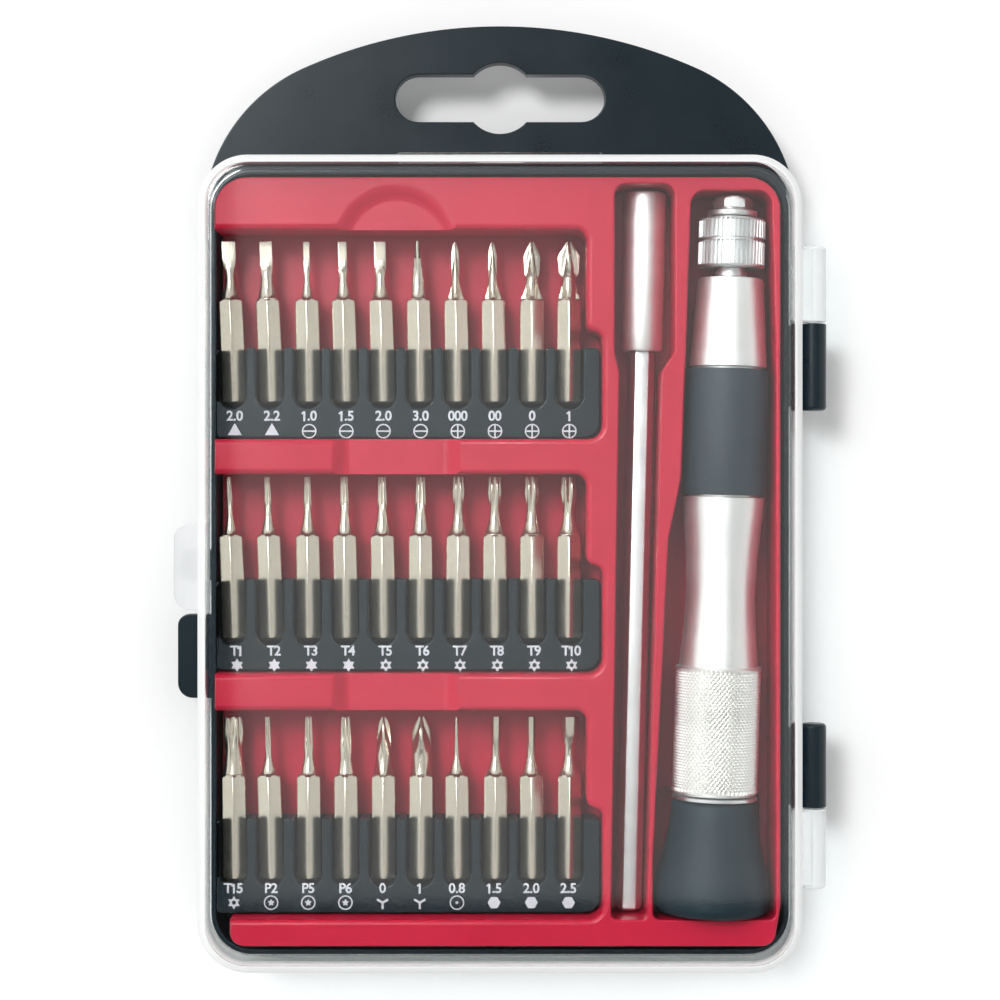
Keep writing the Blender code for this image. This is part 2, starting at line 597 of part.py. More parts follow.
def waist_radius(part):
    """Hourglass between the grip and the knurl, slimmest a little nearer the knurl."""
    ends = WAIST_ENDS[0] + (WAIST_ENDS[1] - WAIST_ENDS[0]) * part
    return ends - WAIST_DEPTH * math.sin(math.pi * part ** 0.9) ** 1.3


def build_handle():
    axis = add_axis("handle_axis", HANDLE_TAIL, HANDLE_TILT)
    rear, knurl_end, waist_end, seat_end, front = 20.35 * MM, 42.4 * MM, 71.3 * MM, 93.4 * MM, 108.7 * MM
    seat = GRIP_RADIUS - 1.15 * MM
    barrel = [(95.7 * MM, 2.75 * MM), (front, 2.75 * MM), (front, 5.1 * MM), (front - 0.5 * MM, 5.6 * MM),
              (seat_end, 6.65 * MM), (seat_end, seat), (waist_end, seat)]
    for k in range(7):
        part = 1 - k / 6
        barrel.append((knurl_end + (waist_end - knurl_end) * part, waist_radius(part)))
    barrel += [(knurl_end - 0.3 * MM, KNURL_RADIUS), (rear + 0.4 * MM, KNURL_RADIUS), (rear, 7.0 * MM),
               (rear, 2.3 * MM), (35.0 * MM, 2.3 * MM)]
    add_object("handle_barrel", turned(barrel), ALUMINIUM, axis)

    low, high = waist_end + GAP, seat_end - GAP
    bore, edge = seat + GAP, 0.3 * MM
    grip = [(low, bore), (low, GRIP_RADIUS - edge), (low + edge, GRIP_RADIUS), (high - edge, GRIP_RADIUS),
            (high, GRIP_RADIUS - edge), (high, bore)]
    add_object("grip_sleeve", turned(grip, closed=True), RUBBER_BLACK, axis)

    build_chuck(axis)
    build_cap(axis)


def build_chuck(axis):
    """Quick-release chuck: a land in the sprung lock sleeve holds the ball in until the sleeve is pulled back."""
    nose = hexagon(6.0 * MM, corner_at=0.0)
    nose_end = hexagon(5.2 * MM, corner_at=0.0)
    bore = hexagon(SOCKET_ACROSS_FLATS, corner_at=0.0)
    neck, flange, stem = 2.45 * MM, 2.75 * MM, 2.9 * MM
    spindle = [(96.0 * MM, neck - 0.3 * MM), (96.4 * MM, neck), (109.1 * MM, neck), (109.1 * MM, flange),
               (109.8 * MM, flange), (109.8 * MM, neck), (112.3 * MM, neck), (112.3 * MM, 3.9 * MM),
               (112.9 * MM, 3.9 * MM), (112.9 * MM, stem), (120.65 * MM, stem), (120.65 * MM, nose),
               (122.0 * MM, nose), (122.7 * MM, nose_end), (122.7 * MM, bore), (112.7 * MM, bore)]
    body = add_object("chuck_spindle", turned(spindle), STEEL_BRIGHT, axis)
    ball_y = 116.9 * MM
    hole = loft([[Vector((p.x, ball_y + p.z, p.y)) for p in polar_ring(circle(MM), 12, z)]
                 for z in (0.5 * MM, 3.6 * MM)])
    hole_cutter = cutter("detent_hole", hole)
    hole_cutter.parent = axis
    combine(body, hole_cutter, "DIFFERENCE")

    sphere = bmesh.new()
    bmesh.ops.create_icosphere(sphere, subdivisions=1, radius=0.7 * MM,
                               matrix=Matrix.Translation((0, ball_y, 2.85 * MM)))
    add_object("detent_ball", sphere, STEEL_BRIGHT, axis)

    outer, guide, chamber, mouth, land = SLEEVE_RADIUS, 3.2 * MM, 4.3 * MM, 4.1 * MM, 3.65 * MM
    sleeve = [(110.5 * MM, guide), (110.5 * MM, outer - 0.3 * MM), (110.8 * MM, outer), (115.0 * MM, outer),
              (115.05 * MM, outer - 0.25 * MM), (115.3 * MM, outer - 0.25 * MM), (115.35 * MM, outer),
              (118.6 * MM, outer), (118.95 * MM, outer - 0.4 * MM), (118.95 * MM, mouth), (117.8 * MM, mouth),
              (117.7 * MM, land), (116.1 * MM, land), (116.0 * MM, chamber), (112.0 * MM, chamber),
              (112.0 * MM, guide)]
    add_object("lock_sleeve", turned(sleeve, closed=True), STEEL_BRIGHT, axis)

    turns, per_turn, mean, wire = 2, 12, 3.6 * MM, 0.25 * MM
    start, pitch = 113.25 * MM, 0.7 * MM
    rings = []
    for k in range(turns * per_turn + 1):
        angle = 2 * math.pi * k / per_turn
        centre = Vector((mean * math.cos(angle), start + pitch * k / per_turn, mean * math.sin(angle)))
        radial = Vector((math.cos(angle), 0, math.sin(angle)))
        ring = []
        for side in range(6):
            turn = math.pi / 3 * side
            ring.append(centre + radial * wire * math.cos(turn) + Vector((0, wire * math.sin(turn), 0)))
        rings.append(ring)
    add_object("sleeve_spring", loft(rings), STEEL_BRIGHT, axis)

    ring = [(119.25 * MM, 3.2 * MM), (119.25 * MM, 4.1 * MM), (119.45 * MM, 4.25 * MM), (120.15 * MM, 4.25 * MM),
            (120.35 * MM, 4.1 * MM), (120.35 * MM, 3.2 * MM)]
    add_object("chuck_ring", turned(ring, closed=True), STEEL_BRIGHT, axis)
    magnet = [(113.0 * MM, 1.6 * MM), (114.5 * MM, 1.6 * MM)]
    add_object("chuck_magnet", turned(magnet, 12), STEEL_BRIGHT, axis)


def build_cap(axis):
    """Swivel cap: turns freely on a shouldered screw held in the barrel's tail."""
    washer = [(19.45 * MM, 2.3 * MM), (19.45 * MM, 7.3 * MM), (20.05 * MM, 7.3 * MM), (20.05 * MM, 2.3 * MM)]
    add_object("cap_washer", turned(washer, closed=True), STEEL_BRIGHT, axis)
    cap = [(19.15 * MM, 2.3 * MM), (19.15 * MM, 7.1 * MM), (18.8 * MM, 7.3 * MM), (15.0 * MM, 7.6 * MM),
           (11.5 * MM, 8.2 * MM), (7.1 * MM, 9.3 * MM), (4.2 * MM, 9.95 * MM), (2.8 * MM, 10.05 * MM),
           (1.2 * MM, 9.6 * MM), (0.0, 8.4 * MM), (0.0, 3.9 * MM), (8.3 * MM, 3.9 * MM), (8.3 * MM, 2.3 * MM)]
    add_object("end_cap", turned(cap, closed=True), PLASTIC_BLACK, axis)
    screw = [(6.2 * MM, 3.2 * MM), (6.6 * MM, 3.6 * MM), (8.0 * MM, 3.6 * MM), (8.0 * MM, 2.0 * MM),
             (34.2 * MM, 2.0 * MM), (34.6 * MM, 1.7 * MM)]
    add_object("cap_screw", turned(screw, 16), STEEL_BRIGHT, axis)
    plug = [(0.2 * MM, 3.3 * MM), (0.5 * MM, 3.6 * MM), (2.6 * MM, 3.6 * MM)]
    add_object("cap_plug", turned(plug, 16), PLASTIC_BLACK, axis)


# ---------------------------------------------------------------- assembly

for old in list(bpy.data.objects):
    bpy.data.objects.remove(old, do_unlink=True)

PLASTIC_BLACK = make_material("black_plastic", (0.020, 0.028, 0.032), 0.45)
PLASTIC_CLEAR = make_material("clear_plastic", (0.92, 0.94, 0.94), 0.08, alpha=0.25)
PLASTIC_RED = make_material("red_sheet", (0.55, 0.012, 0.03), 0.4)
RUBBER_BLACK = make_material("black_rubber", (0.025, 0.03, 0.033), 0.8)
STEEL_NICKEL = make_material("nickel_plated_steel", (0.62, 0.57, 0.49), 0.38, 1.0)
STEEL_BRIGHT = make_material("bright_steel", (0.72, 0.72, 0.72), 0.28, 1.0)
ALUMINIUM = make_material("satin_aluminium", (0.83, 0.83, 0.82), 0.4, 1.0)

build_base()
build_lid()
build_tray()
for row_index, bit_row in enumerate(ROWS):
    build_rack(bit_row)
    for column_index, (bit_name, tip_form, tip_width, bit_lean) in enumerate(BITS[row_index]):
        build_bit(bit_name, tip_form, tip_width, bit_row, column_index, bit_lean)
build_extension()
build_handle()
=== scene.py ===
import math

import bpy
from mathutils import Matrix, Vector


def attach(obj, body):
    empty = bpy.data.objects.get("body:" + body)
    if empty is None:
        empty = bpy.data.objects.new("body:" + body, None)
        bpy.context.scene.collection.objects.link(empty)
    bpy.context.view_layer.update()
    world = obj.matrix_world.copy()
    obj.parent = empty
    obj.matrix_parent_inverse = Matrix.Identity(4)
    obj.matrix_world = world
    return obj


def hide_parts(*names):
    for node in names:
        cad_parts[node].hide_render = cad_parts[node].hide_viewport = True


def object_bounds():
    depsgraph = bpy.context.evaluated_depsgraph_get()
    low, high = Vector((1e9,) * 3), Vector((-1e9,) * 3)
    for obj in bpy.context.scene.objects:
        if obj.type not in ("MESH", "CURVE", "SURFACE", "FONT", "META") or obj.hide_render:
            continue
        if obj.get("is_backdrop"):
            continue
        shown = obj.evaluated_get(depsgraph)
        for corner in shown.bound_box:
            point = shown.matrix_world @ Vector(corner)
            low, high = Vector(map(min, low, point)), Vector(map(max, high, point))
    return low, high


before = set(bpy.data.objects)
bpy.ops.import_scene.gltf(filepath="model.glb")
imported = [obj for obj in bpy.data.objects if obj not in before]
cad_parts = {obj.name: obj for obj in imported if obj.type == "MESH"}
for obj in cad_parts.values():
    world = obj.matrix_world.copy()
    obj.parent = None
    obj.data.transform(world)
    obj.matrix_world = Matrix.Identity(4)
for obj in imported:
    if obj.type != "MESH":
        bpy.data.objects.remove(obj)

cad_low, cad_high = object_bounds()

# ---- Case base
# An injection-moulded tub of black polypropylene with a low wall. The arched hanger with its slot, two
# hinge knuckles, the thumb tab and the catch for the lid's hook are all parts of the one moulding.
MM = 0.001
BASE_SIDE = 49.75
BASE_Y = (-79.45, 55.75)
BASE_TOP = 12.0
BASE_CORNER = 7.05
BASE_WALL = 0.95
BASE_FLOOR = 1.6
FOOT_EDGE = 0.8
BASE_INSIDE = BASE_SIDE - 0.5
HANGER_Z = (7.0, 10.0)
HINGE = (54.05, 11.3)
KNUCKLE_RADIUS = 2.25
PEG_HOLE_RADIUS, PEG_HOLE_DEPTH = 1.2, 3.5
BASE_ARM_Z = (9.1, 10.2)
BASE_KNUCKLES = ((29.15, 14.2), (-54.15, -39.7))
MERGE = 0.002 * MM


def only(piece):
    """Deselect everything and take up this piece alone."""
    bpy.ops.object.select_all(action="DESELECT")
    piece.select_set(True)
    bpy.context.view_layer.objects.active = piece


def apply(piece, kind, **settings):
    """Put one modifier on a piece and apply it."""
    only(piece)
    modifier = piece.modifiers.new(kind.lower(), kind)
    for setting, value in settings.items():
        setattr(modifier, setting, value)
    bpy.ops.object.modifier_apply(modifier=modifier.name)
    return piece


def boolean(piece, tool, operation="UNION"):
    """Weld a tool into a piece, or cut with it, merge what the cut left double, and throw the tool away."""
    apply(piece, "BOOLEAN", object=tool, operation=operation, solver="EXACT")
    bpy.data.objects.remove(tool)
    bpy.ops.object.mode_set(mode="EDIT")
    bpy.ops.mesh.select_all(action="SELECT")
    bpy.ops.mesh.remove_doubles(threshold=2 * MERGE)
    bpy.ops.object.mode_set(mode="OBJECT")
    return piece


def smooth(piece, degrees=35):
    """Round shading across shallow edges, as a moulding or a turned piece looks."""
    only(piece)
    bpy.ops.object.shade_smooth_by_angle(angle=math.radians(degrees))
    return piece


def moulded(piece, degrees=40):
    """Round shading for a moulding: its large faces stay flat and only its narrow edges turn."""
    smooth(piece, degrees)
    return apply(piece, "WEIGHTED_NORMAL", keep_sharp=True, weight=80)


def edit(piece, pick):
    """Open a piece for editing with only the faces selected whose centre and normal pass the test."""
    only(piece)
    bpy.context.tool_settings.mesh_select_mode = (False, False, True)
    for part in (piece.data.vertices, piece.data.edges):
        part.foreach_set("select", [False] * len(part))
    for face in piece.data.polygons:
        face.select = pick(face.center / MM, face.normal)
    bpy.ops.object.mode_set(mode="EDIT")


def done():
    """Leave edit mode."""
    bpy.ops.object.mode_set(mode="OBJECT")


def pencil(name, point):
    """A single vertex, ready to be drawn out into an outline or a profile."""
    if bpy.context.object and bpy.context.object.mode == "EDIT":
        done()
    bpy.ops.object.select_all(action="DESELECT")
    bpy.ops.mesh.primitive_plane_add(size=MM, location=point)
    piece = bpy.context.object
    piece.name = piece.data.name = name
    bpy.ops.object.transform_apply()
    bpy.ops.object.mode_set(mode="EDIT")
    bpy.context.tool_settings.mesh_select_mode = (True, False, False)
    bpy.ops.mesh.select_all(action="SELECT")
    bpy.ops.mesh.merge(type="CENTER")
    return piece


def closed_up():
    """Merge doubles, turn the faces outwards and leave edit mode."""
    bpy.ops.mesh.select_all(action="SELECT")
    bpy.ops.mesh.remove_doubles(threshold=MERGE)
    bpy.ops.mesh.normals_make_consistent(inside=False)
    done()


def drawn(name, strokes, low, high):
    """A plate drawn in plan, in millimetres, and pulled up. A stroke (x, y) runs straight to there; a
    stroke (x, y, degrees, steps) swings about that centre, anticlockwise if positive."""
    here = Vector(strokes[0])
    piece = pencil(name, (here.x * MM, here.y * MM, low * MM))
    for stroke in strokes[1:]:
        there = Vector(stroke[:2])
        if len(stroke) == 2:
            step = (there - here) * MM
            bpy.ops.mesh.extrude_region_move(TRANSFORM_OT_translate={"value": (step.x, step.y, 0)})
            here = there
        else:
            swing = math.radians(stroke[2])
            bpy.ops.mesh.spin(steps=stroke[3], angle=-swing, center=(there.x * MM, there.y * MM, low * MM),
                              axis=(0, 0, 1))
            here = there + Matrix.Rotation(swing, 2) @ (here - there)
    bpy.ops.mesh.select_all(action="SELECT")
    bpy.ops.mesh.remove_doubles(threshold=MERGE)
    bpy.ops.mesh.edge_face_add()
    bpy.ops.mesh.extrude_region_move(TRANSFORM_OT_translate={"value": (0, 0, (high - low) * MM)})
    closed_up()
    return piece


def rounded(corners, steps=8):
    """Strokes round a polygon whose corners (x, y, radius) are rounded, listed anticlockwise."""
    strokes = []
    for k, (x, y, radius) in enumerate(corners):
        here = Vector((x, y))
        before = (Vector(corners[k - 1][:2]) - here).normalized()
        after = (Vector(corners[(k + 1) % len(corners)][:2]) - here).normalized()
        if radius == 0:
            strokes.append((x, y))
            continue
        half = before.angle(after) / 2
        centre = here + (before + after).normalized() * (radius / math.sin(half))
        start = here + before * (radius / math.tan(half))
        swing = math.degrees(math.pi - 2 * half)
        left_turn = after.x * before.y - after.y * before.x > 0
        strokes += [tuple(start), (centre.x, centre.y, swing if left_turn else -swing, steps)]
    return strokes + [strokes[0]]


def slab(x0, x1, y0, y1, radius=0.0):
    """Corners of a rectangle for rounded()."""
    return [(x0, y0, radius), (x1, y0, radius), (x1, y1, radius), (x0, y1, radius)]


def turned(name, profile, sides=64):
    """A piece turned about the Y axis. Its profile, in millimetres, is (distance along Y, radius)."""
    (y, radius), rest = profile[0], profile[1:]
    piece = pencil(name, (radius * MM, y * MM, 0))
    for next_y, next_radius in rest:
        step = {"value": ((next_radius - radius) * MM, (next_y - y) * MM, 0)}
        bpy.ops.mesh.extrude_region_move(TRANSFORM_OT_translate=step)
        y, radius = next_y, next_radius
    bpy.ops.mesh.select_all(action="SELECT")
    bpy.ops.mesh.spin(steps=sides, angle=2 * math.pi, center=(0, 0, 0), axis=(0, 1, 0))
    closed_up()
    return piece


def put(piece, x=0.0, y=0.0, z=0.0, turn=0.0):
    """Turn a piece about Z, in degrees, move it, in millimetres, and leave its place in its mesh."""
    only(piece)
    piece.rotation_euler = (0, 0, math.radians(turn))
    piece.location = (x * MM, y * MM, z * MM)
    bpy.ops.object.transform_apply()
    return piece


def knuckle(start, end, radius=KNUCKLE_RADIUS, dome=0.7):
    """Hinge knuckle between two Y stations; the end station is the domed one."""
    way = 1 if end > start else -1
    profile = [(start, 0), (start, radius - 0.15), (start + way * 0.15, radius)]
    for k in range(5):
        angle = math.pi / 2 * k / 4
        profile.append((end - way * dome * (1 - math.sin(angle)), radius - dome * (1 - math.cos(angle))))
    return put(turned("knuckle", profile + [(end, 0)], 48), HINGE[0], 0, HINGE[1])


def knuckle_arm(mouth, end, wall, low, high):
    """Web that joins a knuckle to the wall it grows from, a little shorter than the knuckle."""
    way = 1 if end > mouth else -1
    arm_y = sorted((mouth + way * 0.2, end - way * 0.8))
    return drawn("arm", rounded(slab(wall, HINGE[0], *arm_y)), low, high)


def worked_out(tree, operation, *terms):
    """Output of a Math node that works on other nodes' outputs and plain numbers."""
    node = tree.nodes.new("ShaderNodeMath")
    node.operation = operation
    for socket, term in zip(node.inputs, terms):
        if isinstance(term, (int, float)):
            socket.default_value = term
        else:
            tree.links.new(term, socket)
    return node.outputs[0]


def grain_group():
    """Clouded colour, uneven gloss and a fine relief, for any moulded, rubbery or blasted surface."""
    group = bpy.data.node_groups.new("surface_grain", "ShaderNodeTree")
    for name, kind, value in (("Vector", "Vector", None), ("Colour", "Color", None),
                              ("Roughness", "Float", 0.5), ("Grain", "Float", 1.0), ("Cloud", "Float", 1.0),
                              ("Tint change", "Float", 0.1), ("Roughness change", "Float", 0.1)):
        socket = group.interface.new_socket(name, in_out="INPUT", socket_type=f"NodeSocket{kind}")
        if value is not None:
            socket.default_value = value
    for name, kind in (("Colour", "Color"), ("Roughness", "Float"), ("Height", "Float")):
        group.interface.new_socket(name, in_out="OUTPUT", socket_type=f"NodeSocket{kind}")
    nodes, links = group.nodes, group.links
    given, given_out = nodes.new("NodeGroupInput"), nodes.new("NodeGroupOutput")
    fine, cloud = nodes.new("ShaderNodeTexNoise"), nodes.new("ShaderNodeTexNoise")
    for noise, size, detail in ((fine, "Grain", 4.0), (cloud, "Cloud", 2.0)):
        links.new(worked_out(group, "DIVIDE", 1 / MM, given.outputs[size]), noise.inputs["Scale"])
        links.new(given.outputs["Vector"], noise.inputs["Vector"])
        noise.inputs["Detail"].default_value = detail
    both = worked_out(group, "MULTIPLY_ADD", fine.outputs["Fac"], 0.5, cloud.outputs["Fac"])
    centred = worked_out(group, "SUBTRACT", both, 0.75)
    shade = worked_out(group, "MULTIPLY_ADD", centred, given.outputs["Tint change"], 1.0)
    tinted = nodes.new("ShaderNodeVectorMath")
    tinted.operation = "SCALE"
    links.new(given.outputs["Colour"], tinted.inputs[0])
    links.new(shade, tinted.inputs["Scale"])
    links.new(tinted.outputs[0], given_out.inputs["Colour"])
    gloss = worked_out(group, "MULTIPLY_ADD", centred, given.outputs["Roughness change"],
                       given.outputs["Roughness"])
    links.new(gloss, given_out.inputs["Roughness"])
    links.new(fine.outputs["Fac"], given_out.inputs["Height"])
    return group


surface_grain = grain_group()
# On turned metal the grain is this many times longer round the axis than along it.
RING_STRETCH = 25


def grain_on(material, colour, roughness, grain, cloud, tint, gloss, relief, axis_turn=None):
    """Lay the surface grain on a new material: grain and cloud sizes and the relief's depth are in
    millimetres. With axis_turn, in degrees, the grain runs in rings round an axis turned that far from Y."""
    material.use_nodes = True
    nodes, links = material.node_tree.nodes, material.node_tree.links
    shader = nodes["Principled BSDF"]
    place = nodes.new("ShaderNodeTexCoord")
    pattern = nodes.new("ShaderNodeGroup")
    pattern.node_tree = surface_grain
    pattern.name = "surface_grain"
    for socket, value in (("Colour", (*colour, 1)), ("Roughness", roughness), ("Grain", grain),
                          ("Cloud", cloud), ("Tint change", tint), ("Roughness change", gloss)):
        pattern.inputs[socket].default_value = value
    if axis_turn is None:
        links.new(place.outputs["Object"], pattern.inputs["Vector"])
    else:
        rings = nodes.new("ShaderNodeMapping")
        rings.vector_type = "TEXTURE"
        rings.inputs["Rotation"].default_value = (0, 0, math.radians(axis_turn))
        rings.inputs["Scale"].default_value = (RING_STRETCH, 1, RING_STRETCH)
        links.new(place.outputs["Object"], rings.inputs["Vector"])
        links.new(rings.outputs["Vector"], pattern.inputs["Vector"])
    links.new(pattern.outputs["Colour"], shader.inputs["Base Color"])
    links.new(pattern.outputs["Roughness"], shader.inputs["Roughness"])
    bump = nodes.new("ShaderNodeBump")
    bump.inputs["Distance"].default_value = relief * MM
    links.new(pattern.outputs["Height"], bump.inputs["Height"])
    links.new(bump.outputs["Normal"], shader.inputs["Normal"])
    return shader


def grained(name, *look, metallic=0.0, axis_turn=None, specular=0.5):
    """Opaque material with the surface grain. Its look is what grain_on takes after the material."""
    material = bpy.data.materials.new(name)
    shader = grain_on(material, *look, axis_turn=axis_turn)
    shader.inputs["Metallic"].default_value = metallic
    shader.inputs["Specular IOR Level"].default_value = specular
    return material


def finished(piece, material, body, slot, *nodes):
    """Give a piece its material, hand it to its body and hide the CAD nodes that it stands for. The slot is
    not used.
    """
    piece.data.materials.clear()
    piece.data.materials.append(material)
    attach(piece, body)
    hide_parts(*nodes)
    return piece


black_moulding = grained("black_moulding", (0.004, 0.013, 0.019), 0.30, 0.35, 9.0, 0.35, 0.12, 0.006,
                         specular=0.3)

base = drawn("case_base", rounded(slab(-BASE_SIDE, BASE_SIDE, *BASE_Y, BASE_CORNER), 12), 0.0, BASE_TOP)
edit(base, lambda centre, normal: normal.z < -0.9)
bpy.ops.mesh.bevel(offset=FOOT_EDGE * MM, segments=4, affect="EDGES")
done()
edit(base, lambda centre, normal: normal.z > 0.9)
bpy.ops.mesh.inset(thickness=BASE_WALL * MM)
bpy.ops.mesh.extrude_region_move(TRANSFORM_OT_translate={"value": (0, 0, -(BASE_TOP - BASE_FLOOR) * MM)})
done()

# The hanger's arch is a wide arc between two narrower ones. Its feet wrap the base's corners.
HANGER_TOP, HANGER_SIDE, FOOT_X, FOOT_Y = 80.9, 50.8, 50.4, 52.6
CROWN, SHOULDER, SPREAD = 83.7, 29.5, 24.0
HANGER_INNER_X, HANGER_INNER_Y, CORNER_LEG = 49.2, 55.2, 6.5
crown_y = HANGER_TOP - CROWN
shoulder_x = (CROWN - SHOULDER) * math.sin(math.radians(SPREAD))
shoulder_y = crown_y + (CROWN - SHOULDER) * math.cos(math.radians(SPREAD))
swept = math.degrees(math.asin((HANGER_SIDE - shoulder_x) / SHOULDER))
inner_foot_y = FOOT_Y - 1.5
turn_in = HANGER_INNER_X - CORNER_LEG
hanger = drawn("hanger", [
    (FOOT_X, FOOT_Y), (shoulder_x + SHOULDER * math.sin(math.radians(swept)),
                       shoulder_y + SHOULDER * math.cos(math.radians(swept))),
    (shoulder_x, shoulder_y, swept - SPREAD, 24), (0, crown_y, 2 * SPREAD, 40),
    (-shoulder_x, shoulder_y, swept - SPREAD, 24), (-FOOT_X, FOOT_Y), (-HANGER_INNER_X, inner_foot_y),
    (-turn_in, HANGER_INNER_Y), (turn_in, HANGER_INNER_Y), (HANGER_INNER_X, inner_foot_y),
    (FOOT_X, FOOT_Y)], *HANGER_Z)
boolean(base, hanger)

# The hang slot is a round eye with a round-ended wing on each side.
SLOT_Y, EYE, END_R, SLOT_HALF = 68.4, 6.15, 4.1, 18.15
END_X = SLOT_HALF - END_R
reach = math.degrees(math.asin(END_R / EYE))
eye_x = EYE * math.cos(math.radians(reach))
slot_cut = drawn("slot_cut", [
    (END_X, SLOT_Y - END_R), (END_X, SLOT_Y, 180, 20), (eye_x, SLOT_Y + END_R),
    (0, SLOT_Y, 180 - 2 * reach, 20), (-END_X, SLOT_Y + END_R), (-END_X, SLOT_Y, 180, 20),
    (-eye_x, SLOT_Y - END_R), (0, SLOT_Y, 180 - 2 * reach, 20), (END_X, SLOT_Y - END_R)],
    HANGER_Z[0] - 1, HANGER_Z[1] + 1)
boolean(base, slot_cut, "DIFFERENCE")

for mouth, end in BASE_KNUCKLES:
    way = 1 if end > mouth else -1
    boolean(base, knuckle_arm(mouth, end, BASE_INSIDE, *BASE_ARM_Z))
    boolean(base, knuckle(mouth, end))
    bottom = mouth + way * PEG_HOLE_DEPTH
    hole = [(mouth - way, 0), (mouth - way, PEG_HOLE_RADIUS), (bottom, PEG_HOLE_RADIUS), (bottom, 0)]
    boolean(base, put(turned("peg_hole", hole, 32), HINGE[0], 0, HINGE[1]), "DIFFERENCE")

# The catch takes the lid's hook, and the thumb tab beside it is pushed down to part the two.
CATCH_X, CATCH_Y, CATCH_Z = -54.9, (-15.1, -9.7), (8.0, 9.9)
THUMB_X, THUMB_Y, THUMB_Z = -55.8, (-35.5, -20.95), (7.6, 10.1)
boolean(base, drawn("catch", rounded(slab(CATCH_X, -BASE_INSIDE, *CATCH_Y, 0.5), 4), *CATCH_Z))
thumb_tab = [(THUMB_X, THUMB_Y[0], 2.6), (-BASE_INSIDE, THUMB_Y[0], 0), (-BASE_INSIDE, THUMB_Y[1], 0),
             (THUMB_X, THUMB_Y[1], 2.0)]
boolean(base, drawn("thumb_tab", rounded(thumb_tab, 8), *THUMB_Z))
apply(base, "BEVEL", width=0.22 * MM, segments=2, limit_method="ANGLE", angle_limit=math.radians(50),
      use_clamp_overlap=False)
moulded(base)
finished(base, black_moulding, "case", "black_plastic", "base_shell")

# ---- Insert tray
# One red polystyrene sheet, vacuum-formed, that drops into the base. Its edges are softly rounded, ridges
# part the rows of bits, the extension and the handle, and a finger saddle dips across the ridges.
RIDGE_TOP, BAY_FLOOR, SADDLE_FLOOR, SKIN = 18.5, 6.0, 16.7, 0.9
CHANNEL_FLOOR, WELL_FLOOR, CAP_WELL_FLOOR = 6.6, 5.3, 2.6
SHEET_LOW, BELOW_SHEET, ABOVE = 1.9, 0.9, RIDGE_TOP + 2
# Width of the rolled top edges, and the part of it that the outer edges have.
ROLL, EDGE_ROLL = 0.95, 0.36
# Each bay: its two ends along Y, and the step where the wide part that holds the rack ends.
BAYS = ((9.15, 44.7, 26.9), (-30.7, 3.2, -12.8), (-72.3, -36.9, -53.9))
tray = drawn("tray_sheet", rounded([
    (-48.4, -60.0, 0), (-45.8, -71.0, 0), (-45.8, -76.8, 2.4), (46.4, -76.8, 2.4), (47.5, -70.0, 0),
    (47.5, 53.5, 5.5), (-48.4, 53.5, 5.5)], 8), SHEET_LOW, RIDGE_TOP)
for low, high, step in BAYS:
    bay = [(-60, low, 0), (17.4, low, 2.5), (17.4, step, 1.5), (14.7, step + 1, 1.5), (14.7, high, 2.0),
           (-60, high, 0)]
    boolean(tray, drawn("bay", rounded(bay), BAY_FLOOR, ABOVE), "DIFFERENCE")
channel = [(18.8, -72.3, 1.0), (24.85, -72.3, 0.9), (27.4, 20.5, 0), (29.6, 24.0, 0), (29.6, 52.4, 2.0),
           (19.4, 52.4, 2.0), (19.4, 24.0, 0), (20.2, 20.5, 0)]
boolean(tray, drawn("channel", rounded(channel), CHANNEL_FLOOR, ABOVE), "DIFFERENCE")
well = [(25.9, -72.3, 1.2), (46.7, -72.3, 1.2), (46.7, 26.0, 0), (46.0, 51.3, 2.5), (32.4, 51.3, 2.5),
        (30.7, 2.5, 0), (28.5, -7.8, 0), (25.9, -62.0, 0)]
boolean(tray, drawn("well", rounded(well), WELL_FLOOR, ABOVE), "DIFFERENCE")
cap_well = rounded(slab(27.2, 45.4, -72.1, -51.5, 1.2))
boolean(tray, drawn("cap_well", cap_well, CAP_WELL_FLOOR, BAY_FLOOR), "DIFFERENCE")

# The top edges round the bays roll over fully; those along the rim and the long channels less.
weights = tray.data.attributes.new("bevel_weight_edge", "FLOAT", "EDGE")
points = tray.data.vertices
for edge, weight in zip(tray.data.edges, weights.data):
    first, last = (points[v].co / MM for v in edge.vertices)
    x, y, _ = (first + last) / 2
    if min(first.z, last.z) > RIDGE_TOP - 0.01:
        weight.value = 1.0 if -40 < x < 17.5 and -73 < y < 45 else EDGE_ROLL
apply(tray, "BEVEL", width=ROLL * MM, segments=5, limit_method="WEIGHT", use_clamp_overlap=False)

# From below the sheet is hollow under the bays, the handle's well and each of the four ridges.
UNDER_LEFT, UNDER_LEFT_LOW, UNDER_RIGHT, UNDER_TOP = -47.4, -44.7, 16.9, 50.5
RIDGES = ((-76.8, -72.3), (-36.9, -30.7), (3.2, 9.15), (44.7, 51.5))
under = [(UNDER_LEFT, -60.0), (UNDER_LEFT_LOW, -71.0), (UNDER_LEFT_LOW, -75.8), (UNDER_RIGHT, -75.8),
         (UNDER_RIGHT, UNDER_TOP), (UNDER_LEFT, UNDER_TOP), (UNDER_LEFT, -60.0)]
boolean(tray, drawn("under", under, BELOW_SHEET, BAY_FLOOR - SKIN), "DIFFERENCE")
under_handle = rounded(slab(17.9, 46.5, -50.6, UNDER_TOP))
boolean(tray, drawn("under_handle", under_handle, BELOW_SHEET, WELL_FLOOR - SKIN), "DIFFERENCE")
for low, high in RIDGES:
    left = UNDER_LEFT_LOW if low < -76 else UNDER_LEFT
    hollow = rounded(slab(left, UNDER_RIGHT, low + 1, high - 1))
    boolean(tray, drawn("ridge", hollow, BAY_FLOOR - SKIN - 0.5, SADDLE_FLOOR - SKIN), "DIFFERENCE")

